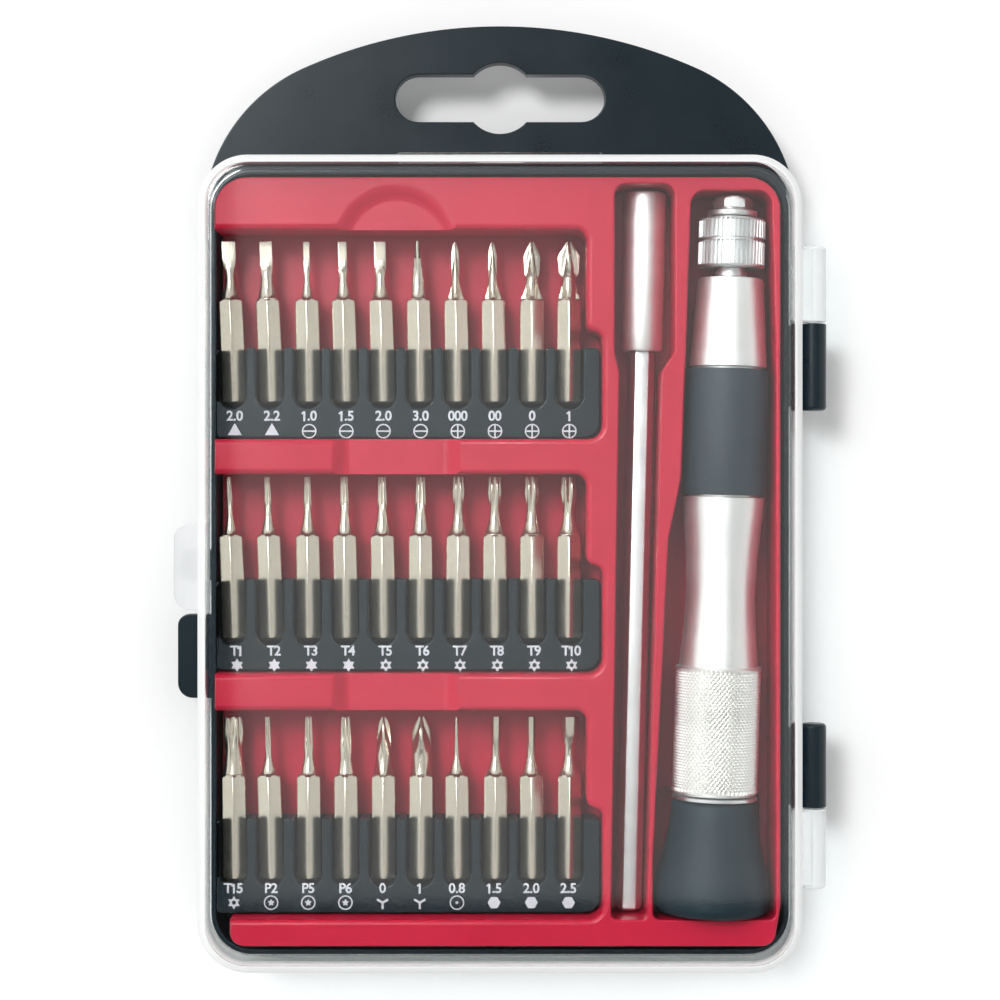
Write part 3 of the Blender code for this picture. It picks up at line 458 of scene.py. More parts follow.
# The finger saddle has a round upper end and sides that slope out to the ridges' tops.
SADDLE_X, SADDLE_Y, SADDLE_HALF, SADDLE_FLARE = -17.6, (-40.0, 41.6), 8.6, 1.32
left, right = SADDLE_X - SADDLE_HALF, SADDLE_X + SADDLE_HALF
saddle = drawn("saddle", [
    (left, SADDLE_Y[0]), (right, SADDLE_Y[0]), (right, SADDLE_Y[1]), (SADDLE_X, SADDLE_Y[1], 180, 32),
    (left, SADDLE_Y[0])], SADDLE_FLOOR, RIDGE_TOP + 0.3)
edit(saddle, lambda centre, normal: normal.z > 0.9)
bpy.ops.transform.resize(value=(SADDLE_FLARE, SADDLE_FLARE, 1),
                         center_override=(SADDLE_X * MM, SADDLE_Y[1] * MM, RIDGE_TOP * MM))
done()
edit(saddle, lambda centre, normal: normal.z < -0.9)
bpy.ops.mesh.bevel(offset=0.7 * MM, segments=3, affect="EDGES")
done()
boolean(tray, saddle, "DIFFERENCE")
moulded(tray)
red_sheet = grained("red_sheet", (0.38, 0.003, 0.026), 0.36, 0.5, 14.0, 0.16, 0.10, 0.010, specular=0.3)
finished(tray, red_sheet, "case", "red_sheet", "insert_tray")

# ---- Bit racks
# Three moulded combs of black plastic, pressed into the bays. Each holds ten bits by their tails in open
# grooves with round lower ends, and has a flat strip below them for the size marks.
PITCH, ROW_X, GROOVE, GROOVE_FLOOR, FACE = 6.4, -16.9, 4.9, 7.95, 13.8
RACK_LOW, RACK_X = 6.3, (-48.5, 17.1)
# Each row: its name, the rack's two ends along Y, and where the bits' tails lie.
ROWS = (("top", 9.45, 24.9, 15.4), ("middle", -30.4, -14.8, -25.2), ("bottom", -72.0, -55.9, -66.6))
# How far each bit leans to the left in its groove, in degrees.
LEANS = ((2.4, 2.4, 1.2, 1.6, 1.4, 1.2, 1.0, 0.9, 0.0, 0.0),
         (2.4, 1.9, 0.8, 0.9, 0.6, 0.0, -0.3, 0.0, 0.0, 0.0),
         (0.7, 1.8, 0.3, 0.3, 0.0, -0.3, 0.5, -0.5, 0.3, -0.3))


def bit_x(column):
    """Where a bit's tail lies across the row, from the left."""
    return ROW_X + (column - 4.5) * PITCH


rack_plastic = grained("rack_plastic", (0.004, 0.011, 0.015), 0.34, 0.3, 7.0, 0.35, 0.12, 0.006,
                       specular=0.25)
for (row, low, high, tail), leans in zip(ROWS, LEANS):
    left, right = RACK_X
    plan = [(left, low, 0.8), (right, low, 2.6), (right, high, 0.8), (left, high, 0.8)]
    rack = drawn(f"rack_{row}", rounded(plan, 6), RACK_LOW, FACE)
    for column, lean in enumerate(leans):
        middle = bit_x(column) - math.sin(math.radians(lean)) * (high - tail) / 2
        left, right, end = middle - GROOVE / 2, middle + GROOVE / 2, tail - 1 + GROOVE / 2
        groove = [(right, high + 1), (left, high + 1), (left, end), (middle, end, 180, 24), (right, high + 1)]
        boolean(rack, drawn("groove", groove, GROOVE_FLOOR, FACE + 1), "DIFFERENCE")
    apply(rack, "BEVEL", width=0.3 * MM, segments=3, limit_method="ANGLE", angle_limit=math.radians(50),
          use_clamp_overlap=False)
    moulded(rack)
    finished(rack, rack_plastic, "case", "rack_plastic", f"bit_rack_{row}")

# ---- Size marks
# White marks pad-printed on each rack's face, a size over the sign of its drive: triangle, slot, cross,
# six-lobed star (with a hole from the fifth on), five-lobed star, three wings, pin and hexagon.
marking_white = grained("marking_white", (0.46, 0.47, 0.51), 0.55, 0.2, 1.0, 0.12, 0.10, 0.003)
MARK_Z, INK, MARK_PITCH = FACE + 0.01, 0.03, 6.37
RING, RING_WIDTH, RING_BAR = 1.25, 0.22, 0.26
TRIANGLE, HEXAGON, STAR, STAR_VALLEY, STAR_HOLE = 1.4, 1.1, 1.15, 0.58, 0.36
WING, WING_WIDTH, PIN, SMALL_STAR, SMALL_STAR_VALLEY = 1.1, 0.36, 0.24, 0.62, 0.55
LETTER_SIZE, BOLDNESS = 2.35, 0.055
SIZES = (("2.0", "2.2", "1.0", "1.5", "2.0", "3.0", "000", "00", "0", "1"),
         ("T1", "T2", "T3", "T4", "T5", "T6", "T7", "T8", "T9", "T10"),
         ("T15", "P2", "P5", "P6", "0", "1", "0.8", "1.5", "2.0", "2.5"))
SIGNS = (("triangle",) * 2 + ("slot",) * 4 + ("cross",) * 4, ("star",) * 4 + ("star_hole",) * 6,
         ("star_hole",) + ("five_lobe",) * 3 + ("three_wing",) * 2 + ("pin",) + ("hexagon",) * 3)
# Each rack's marks: the first column, the line of sizes and the line of signs.
MARK_ROWS = ((-45.45, 13.15, 10.6), (-45.05, -27.1, -29.5), (-45.6, -67.8, -70.2))


def ink(sides, radius, valley=1.0):
    """A flat printed spot with that many sides, or a star if its valleys are nearer the middle."""
    bpy.ops.object.select_all(action="DESELECT")
    bpy.ops.mesh.primitive_cylinder_add(vertices=sides, radius=radius * MM, depth=INK * MM)
    spot = bpy.context.object
    for k, point in enumerate(spot.data.vertices):
        if valley < 1 and (k // 2) % 2:
            point.co.x *= valley
            point.co.y *= valley
    return spot


def bar(length, width, degrees=0.0, shift=0.0):
    """A printed bar along X, turned about its own start if it is shifted along itself."""
    stroke = drawn("bar", rounded(slab(shift - length / 2, shift + length / 2, -width / 2, width / 2)),
                   -INK / 2, INK / 2)
    return put(stroke, turn=degrees)


def holed(spot, sides, radius):
    """Leave a round hole in the middle of a printed spot."""
    hole = ink(sides, radius)
    hole.scale.z = 2
    return boolean(spot, hole, "DIFFERENCE")


def sign(kind):
    """The sign of one drive, at the origin."""
    if kind == "triangle":
        return ink(3, TRIANGLE)
    if kind == "hexagon":
        return put(ink(6, HEXAGON), turn=30)
    if kind == "three_wing":
        mark = bar(WING, WING_WIDTH, 90, -WING / 2)
        for degrees in (30, 150):
            boolean(mark, bar(WING, WING_WIDTH, degrees, WING / 2))
        return mark
    if kind == "star":
        return ink(12, STAR, STAR_VALLEY)
    if kind == "star_hole":
        return holed(ink(12, STAR, STAR_VALLEY), 24, STAR_HOLE)
    inner = RING - RING_WIDTH
    mark = holed(ink(48, RING), 48, inner)
    if kind in ("slot", "cross"):
        boolean(mark, bar(2 * inner + 0.1, RING_BAR))
    if kind == "cross":
        boolean(mark, bar(2 * inner + 0.1, RING_BAR, 90))
    if kind in ("pin", "five_lobe"):
        dot = ink(24, PIN) if kind == "pin" else ink(10, SMALL_STAR, SMALL_STAR_VALLEY)
        only(dot)
        mark.select_set(True)
        bpy.context.view_layer.objects.active = mark
        bpy.ops.object.join()
    return mark


def printed_glyph(character):
    """One bold printed character, centred on its own width, as a mesh. The one has a slanting flag."""
    if character == "1":
        stem = bar(1.7, 0.34, 90)
        return boolean(stem, put(bar(0.62, 0.26, 38), -0.22, 0.60))
    bpy.ops.object.select_all(action="DESELECT")
    bpy.ops.object.text_add()
    letter = bpy.context.object
    letter.data.body = character
    letter.data.size = LETTER_SIZE * MM
    letter.data.align_x = "CENTER"
    letter.data.align_y = "CENTER"
    letter.data.offset = BOLDNESS * MM
    letter.data.extrude = INK / 2 * MM
    letter.data.resolution_u = 4
    bpy.ops.object.convert(target="MESH")
    letter = bpy.context.object
    edit(letter, lambda centre, normal: True)
    closed_up()
    return letter


def lettering(text):
    """A size, set character by character and centred on the origin."""
    widths = [{".": 0.56, "1": 0.95}.get(character, 1.10) for character in text]
    start, glyphs = -sum(widths) / 2, []
    for character, width in zip(text, widths):
        glyphs.append(put(printed_glyph(character), start + width / 2))
        start += width
    only(glyphs[0])
    for glyph in glyphs:
        glyph.select_set(True)
    bpy.ops.object.join()
    return bpy.context.object


for (row, *_), sizes, signs, (start_x, size_y, sign_y) in zip(ROWS, SIZES, SIGNS, MARK_ROWS):
    marks = []
    for column, (size, kind) in enumerate(zip(sizes, signs)):
        x = start_x + column * MARK_PITCH
        marks.append(put(lettering(size), x, size_y, MARK_Z + INK / 2))
        marks.append(put(sign(kind), x, sign_y, MARK_Z + INK / 2))
    only(marks[0])
    for mark in marks:
        mark.select_set(True)
    bpy.ops.object.join()
    printed = bpy.context.object
    printed.name = printed.data.name = f"size_marks_{row}"
    finished(printed, marking_white, "case", "marking_white")

# ---- Bits
# Thirty bits turned and ground from 4 mm hexagonal tool steel, then nickel-plated. The hexagon ends in a
# short cone, a flare runs from there to the neck, and each tip has its drive's own section.
BIT_LENGTH, BIT_Z, SHANK, ACROSS_FLATS = 28.0, 10.6, 18.0, 4.0
FLARE_START, FLARE_END, FLARE_POWER, WIDEST_FOOT = 18.2, 21.6, 1.7, 3.7
# Name, tip form, widths of the tip, the neck and the neck's foot.
BITS = (
    (("triangle_2_0", "triangle", 2.3, 1.6, 2.7), ("triangle_2_2", "triangle", 2.1, 2.2, 2.9),
     ("slotted_1_0", "blade", 1.05, 1.0, 1.8), ("slotted_1_5", "blade", 1.45, 1.5, 2.3),
     ("slotted_2_0", "blade", 1.95, 1.75, 2.7), ("slotted_3_0", "wedge", 0.4, 2.3, 3.0),
     ("cross_000", "cross", 1.35, 1.4, 2.1), ("cross_00", "cross", 1.5, 1.5, 2.3),
     ("cross_0", "arrow_cross", 2.9, 2.0, 3.4), ("cross_1", "arrow_cross", 3.8, 2.3, 3.2)),
    (("star_1", "star", 0.85, 0.95, 1.9), ("star_2", "star", 1.0, 1.2, 2.3),
     ("star_3", "star", 1.1, 1.25, 2.5), ("star_4", "star", 1.3, 1.2, 2.2),
     ("star_5", "star", 1.4, 1.35, 2.6), ("star_6", "star", 1.6, 1.5, 2.5),
     ("star_7", "star", 1.95, 1.7, 2.8), ("star_8", "star", 2.3, 1.85, 2.9),
     ("star_9", "star", 2.4, 1.95, 3.2), ("star_10", "star", 2.7, 2.2, 2.9)),
    (("star_15", "star", 3.2, 3.0, 3.7), ("five_lobe_2", "five_lobe", 0.85, 1.05, 2.2),
     ("five_lobe_5", "five_lobe", 1.25, 1.25, 2.3), ("five_lobe_6", "five_lobe", 1.65, 1.4, 2.3),
     ("three_wing_0", "three_wing", 2.5, 2.5, 3.1), ("three_wing_1", "arrow_wing", 3.7, 3.1, 3.5),
     ("pin_0_8", "pin", 0.4, 0.9, 2.3), ("hex_1_5", "hexagon", 1.6, 1.45, 2.6),
     ("hex_2_0", "hexagon", 1.4, 1.5, 2.6), ("hex_2_5", "hexagon", 2.7, 1.85, 3.0)),
)


def bit_profile(form, tip, neck, foot):
    """Outline of a bit as turned, before its tip is ground: (distance, radius)."""
    foot = min(foot * 1.25, WIDEST_FOOT)
    if form in ("star", "five_lobe") and tip < 1.8:
        neck = max(neck, tip * 1.3)
    profile = [(0, 0), (0, 1.85), (0.35, 2.25), (0.5, 2.35), (SHANK - 0.5, 2.35), (SHANK - 0.25, 2.15),
               (SHANK, 1.9), (SHANK + 0.12, foot / 2 + 0.08)]
    for k in range(6):
        part = k / 5
        flare = (foot - neck) / 2 * (1 - part) ** FLARE_POWER
        profile.append((FLARE_START + (FLARE_END - FLARE_START) * part, neck / 2 + flare))
    if form.startswith("arrow"):
        profile += [(21.8, neck / 2), (22.1, neck / 2 + (tip - neck) * 0.24)]
        profile += [(22.6, tip * 0.45), (23.9, tip * 0.475), (25.4, tip * 0.5)]
        profile += [(26.3, tip * 0.39), (27.2, tip * 0.25), (27.9, tip * 0.14), (BIT_LENGTH, tip * 0.11)]
    elif form in ("cross", "three_wing"):
        profile += [(22.5, neck / 2), (24.0, tip * 0.5), (25.6, tip * 0.5), (26.5, tip * 0.42)]
        profile += [(27.2, tip * 0.3), (27.75, tip * 0.18), (BIT_LENGTH, tip * 0.08)]
    elif form in ("star", "five_lobe"):
        profile += [(22.9, neck / 2), (24.0, neck * 0.25 + tip * 0.28), (25.2, tip * 0.55),
                    (27.8, tip * 0.5), (BIT_LENGTH, tip * 0.44)]
    elif form == "wedge":
        profile += [(22.5, neck / 2), (23.5, 1.22), (25.0, 1.4), (BIT_LENGTH, 1.5)]
    elif form == "pin":
        profile += [(22.6, neck * 0.45), (24.5, tip * 0.8), (26.5, tip * 0.6), (27.9, tip * 0.4),
                    (BIT_LENGTH, tip * 0.3)]
    else:
        profile += [(22.3, neck / 2), (23.0, neck / 2), (23.8, neck * 0.3 + tip * 0.28), (25.0, tip * 0.62),
                    (27.9, tip * 0.62), (BIT_LENGTH, tip * 0.58)]
    return profile + [(BIT_LENGTH, 0)]


def polygon(sides, inner_radius, angle, corner):
    """Distance to the side of a polygon in that direction."""
    step = 2 * math.pi / sides
    return inner_radius / math.cos((angle - corner) % step - step / 2)


def share(y, start, length):
    """How far a cut has come in at a station: 0 before its start, 1 past its length."""
    return min(1.0, max(0.0, (y - start) / length))


def tip_limit(form, tip, neck, y, angle, radius):
    """Radius left after the tip's section is ground, at one place on the turned form."""
    up = math.pi / 2
    ground = share(y, 22.3, 1.5)
    if form == "triangle":
        flat = tip / 2 / math.sqrt(3)
        cut = min(radius, polygon(3, flat, angle, -up))
        return radius + (cut - radius) * ground
    if form in ("blade", "wedge"):
        half = neck / 2 * (1 - ground) + max(0.11 * tip, 0.13) * ground
        slim = 0 if form == "blade" else up
        across = abs(math.sin(angle - slim))
        wide = abs(math.cos(angle - slim))
        if form == "wedge":
            taper = share(y, 20.9, 7.1)
            half = neck / 2 * (1 - taper) + 0.2 * taper
            return min(radius, half / max(across, 1e-6))
        side = neck / 2 * (1 - ground) + tip / 2 * ground
        return min(radius * 1.15, half / max(across, 1e-6), side / max(wide, 1e-6)) if ground else radius
    if form in ("cross", "arrow_cross", "three_wing", "arrow_wing"):
        wings = 4 if "cross" in form else 3
        step = 2 * math.pi / wings
        off = abs((angle - up + step / 2) % step - step / 2)
        deep = share(y, FLARE_END, 5.4)
        core = neck / 2 * (1 - deep) + tip * 0.07 * deep
        half = 0.30 * core + tip * 0.035
        valley = core / math.cos(min(step / 2 - off, 0.9))
        return min(radius, max(valley, half / max(math.sin(off), 1e-6) if off < 1.4 else 0))
    if form in ("star", "five_lobe"):
        lobes = 6 if form == "star" else 5
        start = 0.0 if form == "star" else up
        lobe = (0.5 + 0.5 * math.cos(lobes * (angle - start))) ** 0.75
        valley = min(radius, tip * 0.36)
        run_out = share(y, 22.6, 1.6)
        valley = radius + (valley - radius) * run_out
        return valley + (radius - valley) * lobe
    if form == "hexagon":
        cut = min(radius, polygon(6, tip / 2 * 0.94, angle, 0.0))
        return radius + (cut - radius) * ground
    return radius


def scaled_in(point, share_kept):
    """Move a vertex of a turned piece straight towards its Y axis."""
    point.co.x *= share_kept
    point.co.z *= share_kept


def bit(name, form, tip, neck, foot):
    """One bit on the Y axis: turned, then its hexagon and its tip are ground by moving each vertex in."""
    piece = turned(f"bit_steel_{name}", bit_profile(form, tip, neck, foot), 96)
    for point in piece.data.vertices:
        x, y, z = point.co / MM
        radius = math.hypot(x, z)
        if radius < 0.001:
            continue
        angle = math.atan2(z, x)
        if y < SHANK + 0.05:
            left = min(radius, polygon(6, ACROSS_FLATS / 2, angle, math.pi / 2))
        else:
            left = tip_limit(form, tip, neck, y, angle, radius)
        scaled_in(point, left / radius)
    return smooth(piece, 32)


nickel_plate = grained("nickel_plate", (0.66, 0.61, 0.51), 0.24, 0.14, 2.2, 0.06, 0.05, 0.0008,
                       metallic=1.0)
for (*_, tail), leans, bits in zip(ROWS, LEANS, BITS):
    for column, (lean, (name, *shape)) in enumerate(zip(leans, bits)):
        made = put(bit(name, *shape), bit_x(column), tail, BIT_Z, lean)
        finished(made, nickel_plate, f"bit_{name}", "nickel_steel", f"bit_{name}")

# ---- Extension
# A 4 mm hexagonal steel rod, polished and lying on a flat, pressed into a turned aluminium socket. The
# socket's hexagonal bore takes a bit, and a magnet at its bottom keeps the bit in.
EXTENSION_TAIL, EXTENSION_TURN = (22.18, -71.9, 10.5), -1.36
SOCKET = (96.3, 123.8, 3.6)
ROD_LENGTH, ROD_SEAT = 104.0, 2.65
BORE, BORE_BOTTOM = 4.15, 112.0
bright_steel = grained("bright_steel", (0.80, 0.81, 0.81), 0.34, 0.12, 5.0, 0.14, 0.16, 0.002, metallic=1.0)
satin_extension = grained("satin_aluminium_extension", (0.90, 0.90, 0.89), 0.44, 0.11, 3.0, 0.08, 0.16,
                          0.003, metallic=1.0, axis_turn=EXTENSION_TURN)

rod_corner = ACROSS_FLATS / math.sqrt(3)
rod = turned("extension_rod", [(0, 0), (0, rod_corner - 0.45), (0.5, rod_corner),
                               (ROD_LENGTH - 0.3, rod_corner), (ROD_LENGTH, rod_corner - 0.4),
                               (ROD_LENGTH, 0)], 6)
apply(rod, "BEVEL", width=0.14 * MM, segments=3, limit_method="ANGLE", angle_limit=math.radians(40))
smooth(rod, 35)
put(rod, *EXTENSION_TAIL, EXTENSION_TURN)
finished(rod, bright_steel, "extension", "bright_steel", "extension_shaft")


def hexagonal_bore(piece, start, inner_limit):
    """Work a turned bore, from a station on and inside a radius, into a hexagon with a flat on top."""
    for point in piece.data.vertices:
        x, y, z = point.co / MM
        radius = math.hypot(x, z)
        if y >= start and 0.01 < radius < inner_limit:
            scaled_in(point, polygon(6, radius, math.atan2(z, x), 0.0) / radius)
    return piece


bottom, top, radius = SOCKET
socket = turned("extension_socket_turned", [
    (bottom + 8, 0), (bottom + 8, ROD_SEAT), (bottom, ROD_SEAT), (bottom, radius - 0.45),
    (bottom + 0.15, radius - 0.15), (bottom + 0.5, radius), (top - 0.5, radius),
    (top - 0.15, radius - 0.15), (top, radius - 0.45), (top, BORE / 2 + 0.3), (top - 0.5, BORE / 2),
    (BORE_BOTTOM, BORE / 2), (BORE_BOTTOM, 0)], 96)
hexagonal_bore(socket, BORE_BOTTOM - 0.1, BORE / 2 + 0.35)
smooth(socket, 40)
finished(put(socket, *EXTENSION_TAIL, EXTENSION_TURN), satin_extension, "extension", "satin_aluminium",
         "extension_socket")


def refinish(node, material):
    """Keep a CAD node that is hidden inside, and give it its own finish."""
    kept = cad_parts[node]
    kept.data.materials.clear()
    kept.data.materials.append(material)


refinish("extension_magnet", bright_steel)

# ---- Handle
# The barrel is one aluminium turning: a diamond-knurled tail, a slim waist, a seat for the rubber grip and
# a coned front. A steel chuck spindle is pressed into its front, and a swivel cap turns on its tail.
HANDLE_TAIL, HANDLE_TURN = (36.18, -71.9, 13.0), -1.8
KNURL = (20.75, 42.0)
KNURL_RADIUS, KNURL_DEPTH, KNURL_ROWS, KNURL_SIDES = 7.38, 0.40, 44, 120
WAIST, WAIST_ENDS, WAIST_DEPTH = (42.4, 71.3), (6.75, 6.95), 0.9
SEAT_END, FRONT = 93.4, 108.7
SCREW_HOLE, SPINDLE_HOLE = 2.3, 2.75


def on_handle(piece, material, body, slot, *nodes):
    """Lay a piece modelled on the Y axis where the handle lies, and finish it."""
    put(piece, *HANDLE_TAIL, HANDLE_TURN)
    return finished(piece, material, body, slot, *nodes)


satin_aluminium = grained("satin_aluminium", (0.86, 0.86, 0.85), 0.44, 0.11, 3.0, 0.08, 0.16, 0.003,
                          metallic=1.0, axis_turn=HANDLE_TURN)
profile = [(35.0, 0), (35.0, SCREW_HOLE), (20.35, SCREW_HOLE), (20.35, 6.9), (20.5, 7.1),
           (KNURL[0], KNURL_RADIUS)]
for k in range(1, KNURL_ROWS):
    profile.append((KNURL[0] + (KNURL[1] - KNURL[0]) * k / KNURL_ROWS, KNURL_RADIUS))
profile += [(KNURL[1], KNURL_RADIUS), (KNURL[1] + 0.2, 7.2), (KNURL[1] + 0.3, WAIST_ENDS[0])]
for k in range(25):
    part = k / 24
    ends = WAIST_ENDS[0] + (WAIST_ENDS[1] - WAIST_ENDS[0]) * part
    waist = ends - WAIST_DEPTH * math.sin(math.pi * part ** 0.9) ** 1.3
    profile.append((WAIST[0] + (WAIST[1] - 0.15 - WAIST[0]) * part, waist))
profile += [(WAIST[1], 6.8), (WAIST[1], 6.0), (SEAT_END, 6.0), (SEAT_END, 6.5), (SEAT_END + 0.15, 6.65),
            (FRONT - 0.45, 5.62), (FRONT - 0.12, 5.5), (FRONT, 5.2), (FRONT, SPINDLE_HOLE),
            (95.7, SPINDLE_HOLE), (95.7, 0)]
barrel = turned("barrel", profile, KNURL_SIDES)
# Every other point of the knurl, along and around, is pressed in, which leaves rows of small pyramids.
row_step = (KNURL[1] - KNURL[0]) / KNURL_ROWS
for point in barrel.data.vertices:
    x, y, z = point.co / MM
    radius = math.hypot(x, z)
    row = round((y - KNURL[0]) / row_step)
    if 0 < row < KNURL_ROWS and radius > 7:
        side = round(math.atan2(z, x) / (2 * math.pi) * KNURL_SIDES)
        if (row + side) % 2:
            scaled_in(point, 1 - KNURL_DEPTH / radius)
edit(barrel, lambda centre, normal: KNURL[0] < centre.y < KNURL[1] and math.hypot(centre.x, centre.z) > 7)
bpy.ops.mesh.quads_convert_to_tris(quad_method="SHORTEST_DIAGONAL")
done()
smooth(barrel, 24)
on_handle(barrel, satin_aluminium, "handle", "satin_aluminium", "handle_barrel")
knurled = grained("knurled_aluminium", (0.84, 0.83, 0.81), 0.38, 0.11, 3.0, 0.08, 0.16, 0.003,
                  metallic=1.0, axis_turn=HANDLE_TURN)
barrel.data.materials.append(knurled)
to_barrel = Matrix.Rotation(math.radians(-HANDLE_TURN), 3, "Z")
for face in barrel.data.polygons:
    if KNURL[0] < (to_barrel @ (face.center / MM - Vector(HANDLE_TAIL))).y < KNURL[1]:
        face.material_index = 1

GRIP_RADIUS, GRIP_BORE = 7.15, 6.3
rubber = grained("rubber_grip", (0.012, 0.023, 0.032), 0.62, 0.22, 6.0, 0.30, 0.14, 0.010, specular=0.4)
low, high = WAIST[1] + 0.3, SEAT_END - 0.3
grip = turned("rubber_sleeve", [
    (low, GRIP_BORE), (low, GRIP_RADIUS - 0.25), (low + 0.08, GRIP_RADIUS - 0.08), (low + 0.3, GRIP_RADIUS),
    (high - 0.3, GRIP_RADIUS), (high - 0.08, GRIP_RADIUS - 0.08), (high, GRIP_RADIUS - 0.25),
    (high, GRIP_BORE), (low, GRIP_BORE)], 128)
smooth(grip, 40)
on_handle(grip, rubber, "handle", "black_rubber", "grip_sleeve")

# ---- Quick-release chuck
# A steel spindle with a hexagonal bore and nose. The knurled sleeve slides on it against a coil spring and
# frees the detent ball; a snap ring stops the sleeve at the nose, and a magnet lies in the bore.
STEM, NOSE, NOSE_END, CHUCK_BOTTOM = 2.45, 3.46, 122.7, 112.7
chuck_steel = grained("chuck_steel", (0.72, 0.73, 0.73), 0.40, 0.10, 2.5, 0.16, 0.16, 0.002,
                      metallic=1.0, axis_turn=HANDLE_TURN)
spindle = turned("spindle", [
    (96.0, 0), (96.0, STEM - 0.3), (96.4, STEM), (109.1, STEM), (109.1, 2.75), (109.8, 2.75), (109.8, STEM),
    (112.3, STEM), (112.3, 3.9), (112.9, 3.9), (112.9, 2.9), (120.65, 2.9), (120.65, 3.2), (120.8, NOSE),
    (121.9, NOSE), (122.3, 3.25), (122.6, 3.0), (NOSE_END, 2.75), (NOSE_END, BORE / 2 + 0.3),
    (NOSE_END - 0.4, BORE / 2), (CHUCK_BOTTOM, BORE / 2), (CHUCK_BOTTOM, 0)], 96)
hexagonal_bore(spindle, CHUCK_BOTTOM - 0.1, BORE / 2 + 0.35)
for point in spindle.data.vertices:
    x, y, z = point.co / MM
    radius = math.hypot(x, z)
    if y > 120.7 and radius > 2.7:
        scaled_in(point, min(radius, polygon(6, 3.0, math.atan2(z, x), 0.0)) / radius)
smooth(spindle, 30)
on_handle(spindle, chuck_steel, "handle", "bright_steel", "chuck_spindle")

TEETH, TOOTH_DEPTH, SLEEVE_RADIUS, SLEEVE_BORE = 46, 0.45, 5.7, 3.2
sleeve_bands = ((110.85, 114.95), (115.45, 118.6))
profile = [(110.5, SLEEVE_BORE), (110.5, SLEEVE_RADIUS - 0.35), (110.65, SLEEVE_RADIUS - 0.1)]
for start, end in sleeve_bands:
    for y in (start, start + 0.2, end - 0.2, end):
        profile.append((y, SLEEVE_RADIUS))
    if end < 116:
        profile += [(end + 0.08, SLEEVE_RADIUS - 0.35), (end + 0.42, SLEEVE_RADIUS - 0.35)]
profile += [(118.8, SLEEVE_RADIUS - 0.12), (118.95, SLEEVE_RADIUS - 0.5), (118.95, 4.1), (117.8, 4.1),
            (117.7, 3.65), (116.1, 3.65), (116.0, 4.3), (112.0, 4.3), (112.0, SLEEVE_BORE),
            (110.5, SLEEVE_BORE)]
sleeve = turned("knurled_sleeve", profile, TEETH * 4)
for point in sleeve.data.vertices:
    x, y, z = point.co / MM
    radius = math.hypot(x, z)
    in_band = any(start + 0.1 < y < end - 0.1 for start, end in sleeve_bands)
    side = round(math.atan2(z, x) / (2 * math.pi) * TEETH * 4)
    if in_band and radius > 5.5 and side % 4 in (0, 1):
        scaled_in(point, 1 - TOOTH_DEPTH / radius)
smooth(sleeve, 25)
on_handle(sleeve, chuck_steel, "lock_sleeve", "bright_steel", "lock_sleeve")

RING_RADIUS, RING_INNER = 4.25, 3.2
snap_ring = turned("snap_ring", [
    (119.25, RING_INNER), (119.25, RING_RADIUS - 0.25), (119.32, RING_RADIUS - 0.09), (119.5, RING_RADIUS),
    (120.1, RING_RADIUS), (120.28, RING_RADIUS - 0.09), (120.35, RING_RADIUS - 0.25), (120.35, RING_INNER),
    (119.25, RING_INNER)], 96)
smooth(snap_ring, 40)
on_handle(snap_ring, chuck_steel, "handle", "bright_steel", "chuck_ring")

SPRING_START, SPRING_PITCH, SPRING_TURNS, SPRING_RADIUS, SPRING_WIRE = 113.25, 0.7, 2, 3.6, 0.25
SPRING_STEPS = 48 * SPRING_TURNS
bpy.ops.object.select_all(action="DESELECT")
bpy.ops.mesh.primitive_circle_add(vertices=12, radius=SPRING_WIRE * MM,
                                  location=(SPRING_RADIUS * MM, SPRING_START * MM, 0))
spring = bpy.context.object
spring.name = spring.data.name = "coil_spring"
bpy.ops.object.transform_apply()
apply(spring, "SCREW", axis="Y", angle=-2 * math.pi * SPRING_TURNS,
      screw_offset=SPRING_PITCH * SPRING_TURNS * MM, steps=SPRING_STEPS, render_steps=SPRING_STEPS,
      merge_threshold=MERGE / 2)
edit(spring, lambda centre, normal: True)
bpy.ops.mesh.fill_holes(sides=0)
closed_up()
smooth(spring, 50)
on_handle(spring, bright_steel, "handle", "bright_steel", "sleeve_spring")
for node in ("detent_ball", "chuck_magnet", "cap_screw"):
    refinish(node, bright_steel)

# ---- Swivel cap
# A moulded palm cap of black plastic with a rounded end. It turns on a shouldered screw, runs on a bright
# steel washer and is closed by a small plug, so the handle can be turned under a fingertip.
CAP_RADIUS, CAP_END_DEPTH, CAP_END_FACE, PLUG_HOLE = 10.05, 1.9, 8.35, 3.9
washer = turned("thrust_washer", [
    (19.45, SCREW_HOLE), (19.45, 7.2), (19.52, 7.3), (19.98, 7.3), (20.05, 7.2), (20.05, SCREW_HOLE),
    (19.45, SCREW_HOLE)], 128)
smooth(washer, 40)
on_handle(washer, bright_steel, "handle", "bright_steel", "cap_washer")
cap_plastic = grained("cap_plastic", (0.004, 0.015, 0.022), 0.55, 0.30, 6.0, 0.30, 0.12, 0.008, specular=0.2)
profile = [(8.3, SCREW_HOLE), (19.15, SCREW_HOLE), (19.15, 6.9), (19.05, 7.1), (18.7, 7.28),
           (15.0, 7.6), (11.5, 8.2), (7.1, 9.3), (4.4, 9.93)]
for k in range(9):
    angle = math.pi / 2 * k / 8
    profile.append((CAP_END_DEPTH - CAP_END_DEPTH * math.sin(angle),
                    CAP_END_FACE + (CAP_RADIUS - CAP_END_FACE) * math.cos(angle)))
profile += [(0.0, PLUG_HOLE), (8.3, PLUG_HOLE), (8.3, SCREW_HOLE)]
cap = turned("palm_cap", profile, 128)
smooth(cap, 40)
on_handle(cap, cap_plastic, "end_cap", "black_plastic", "end_cap")
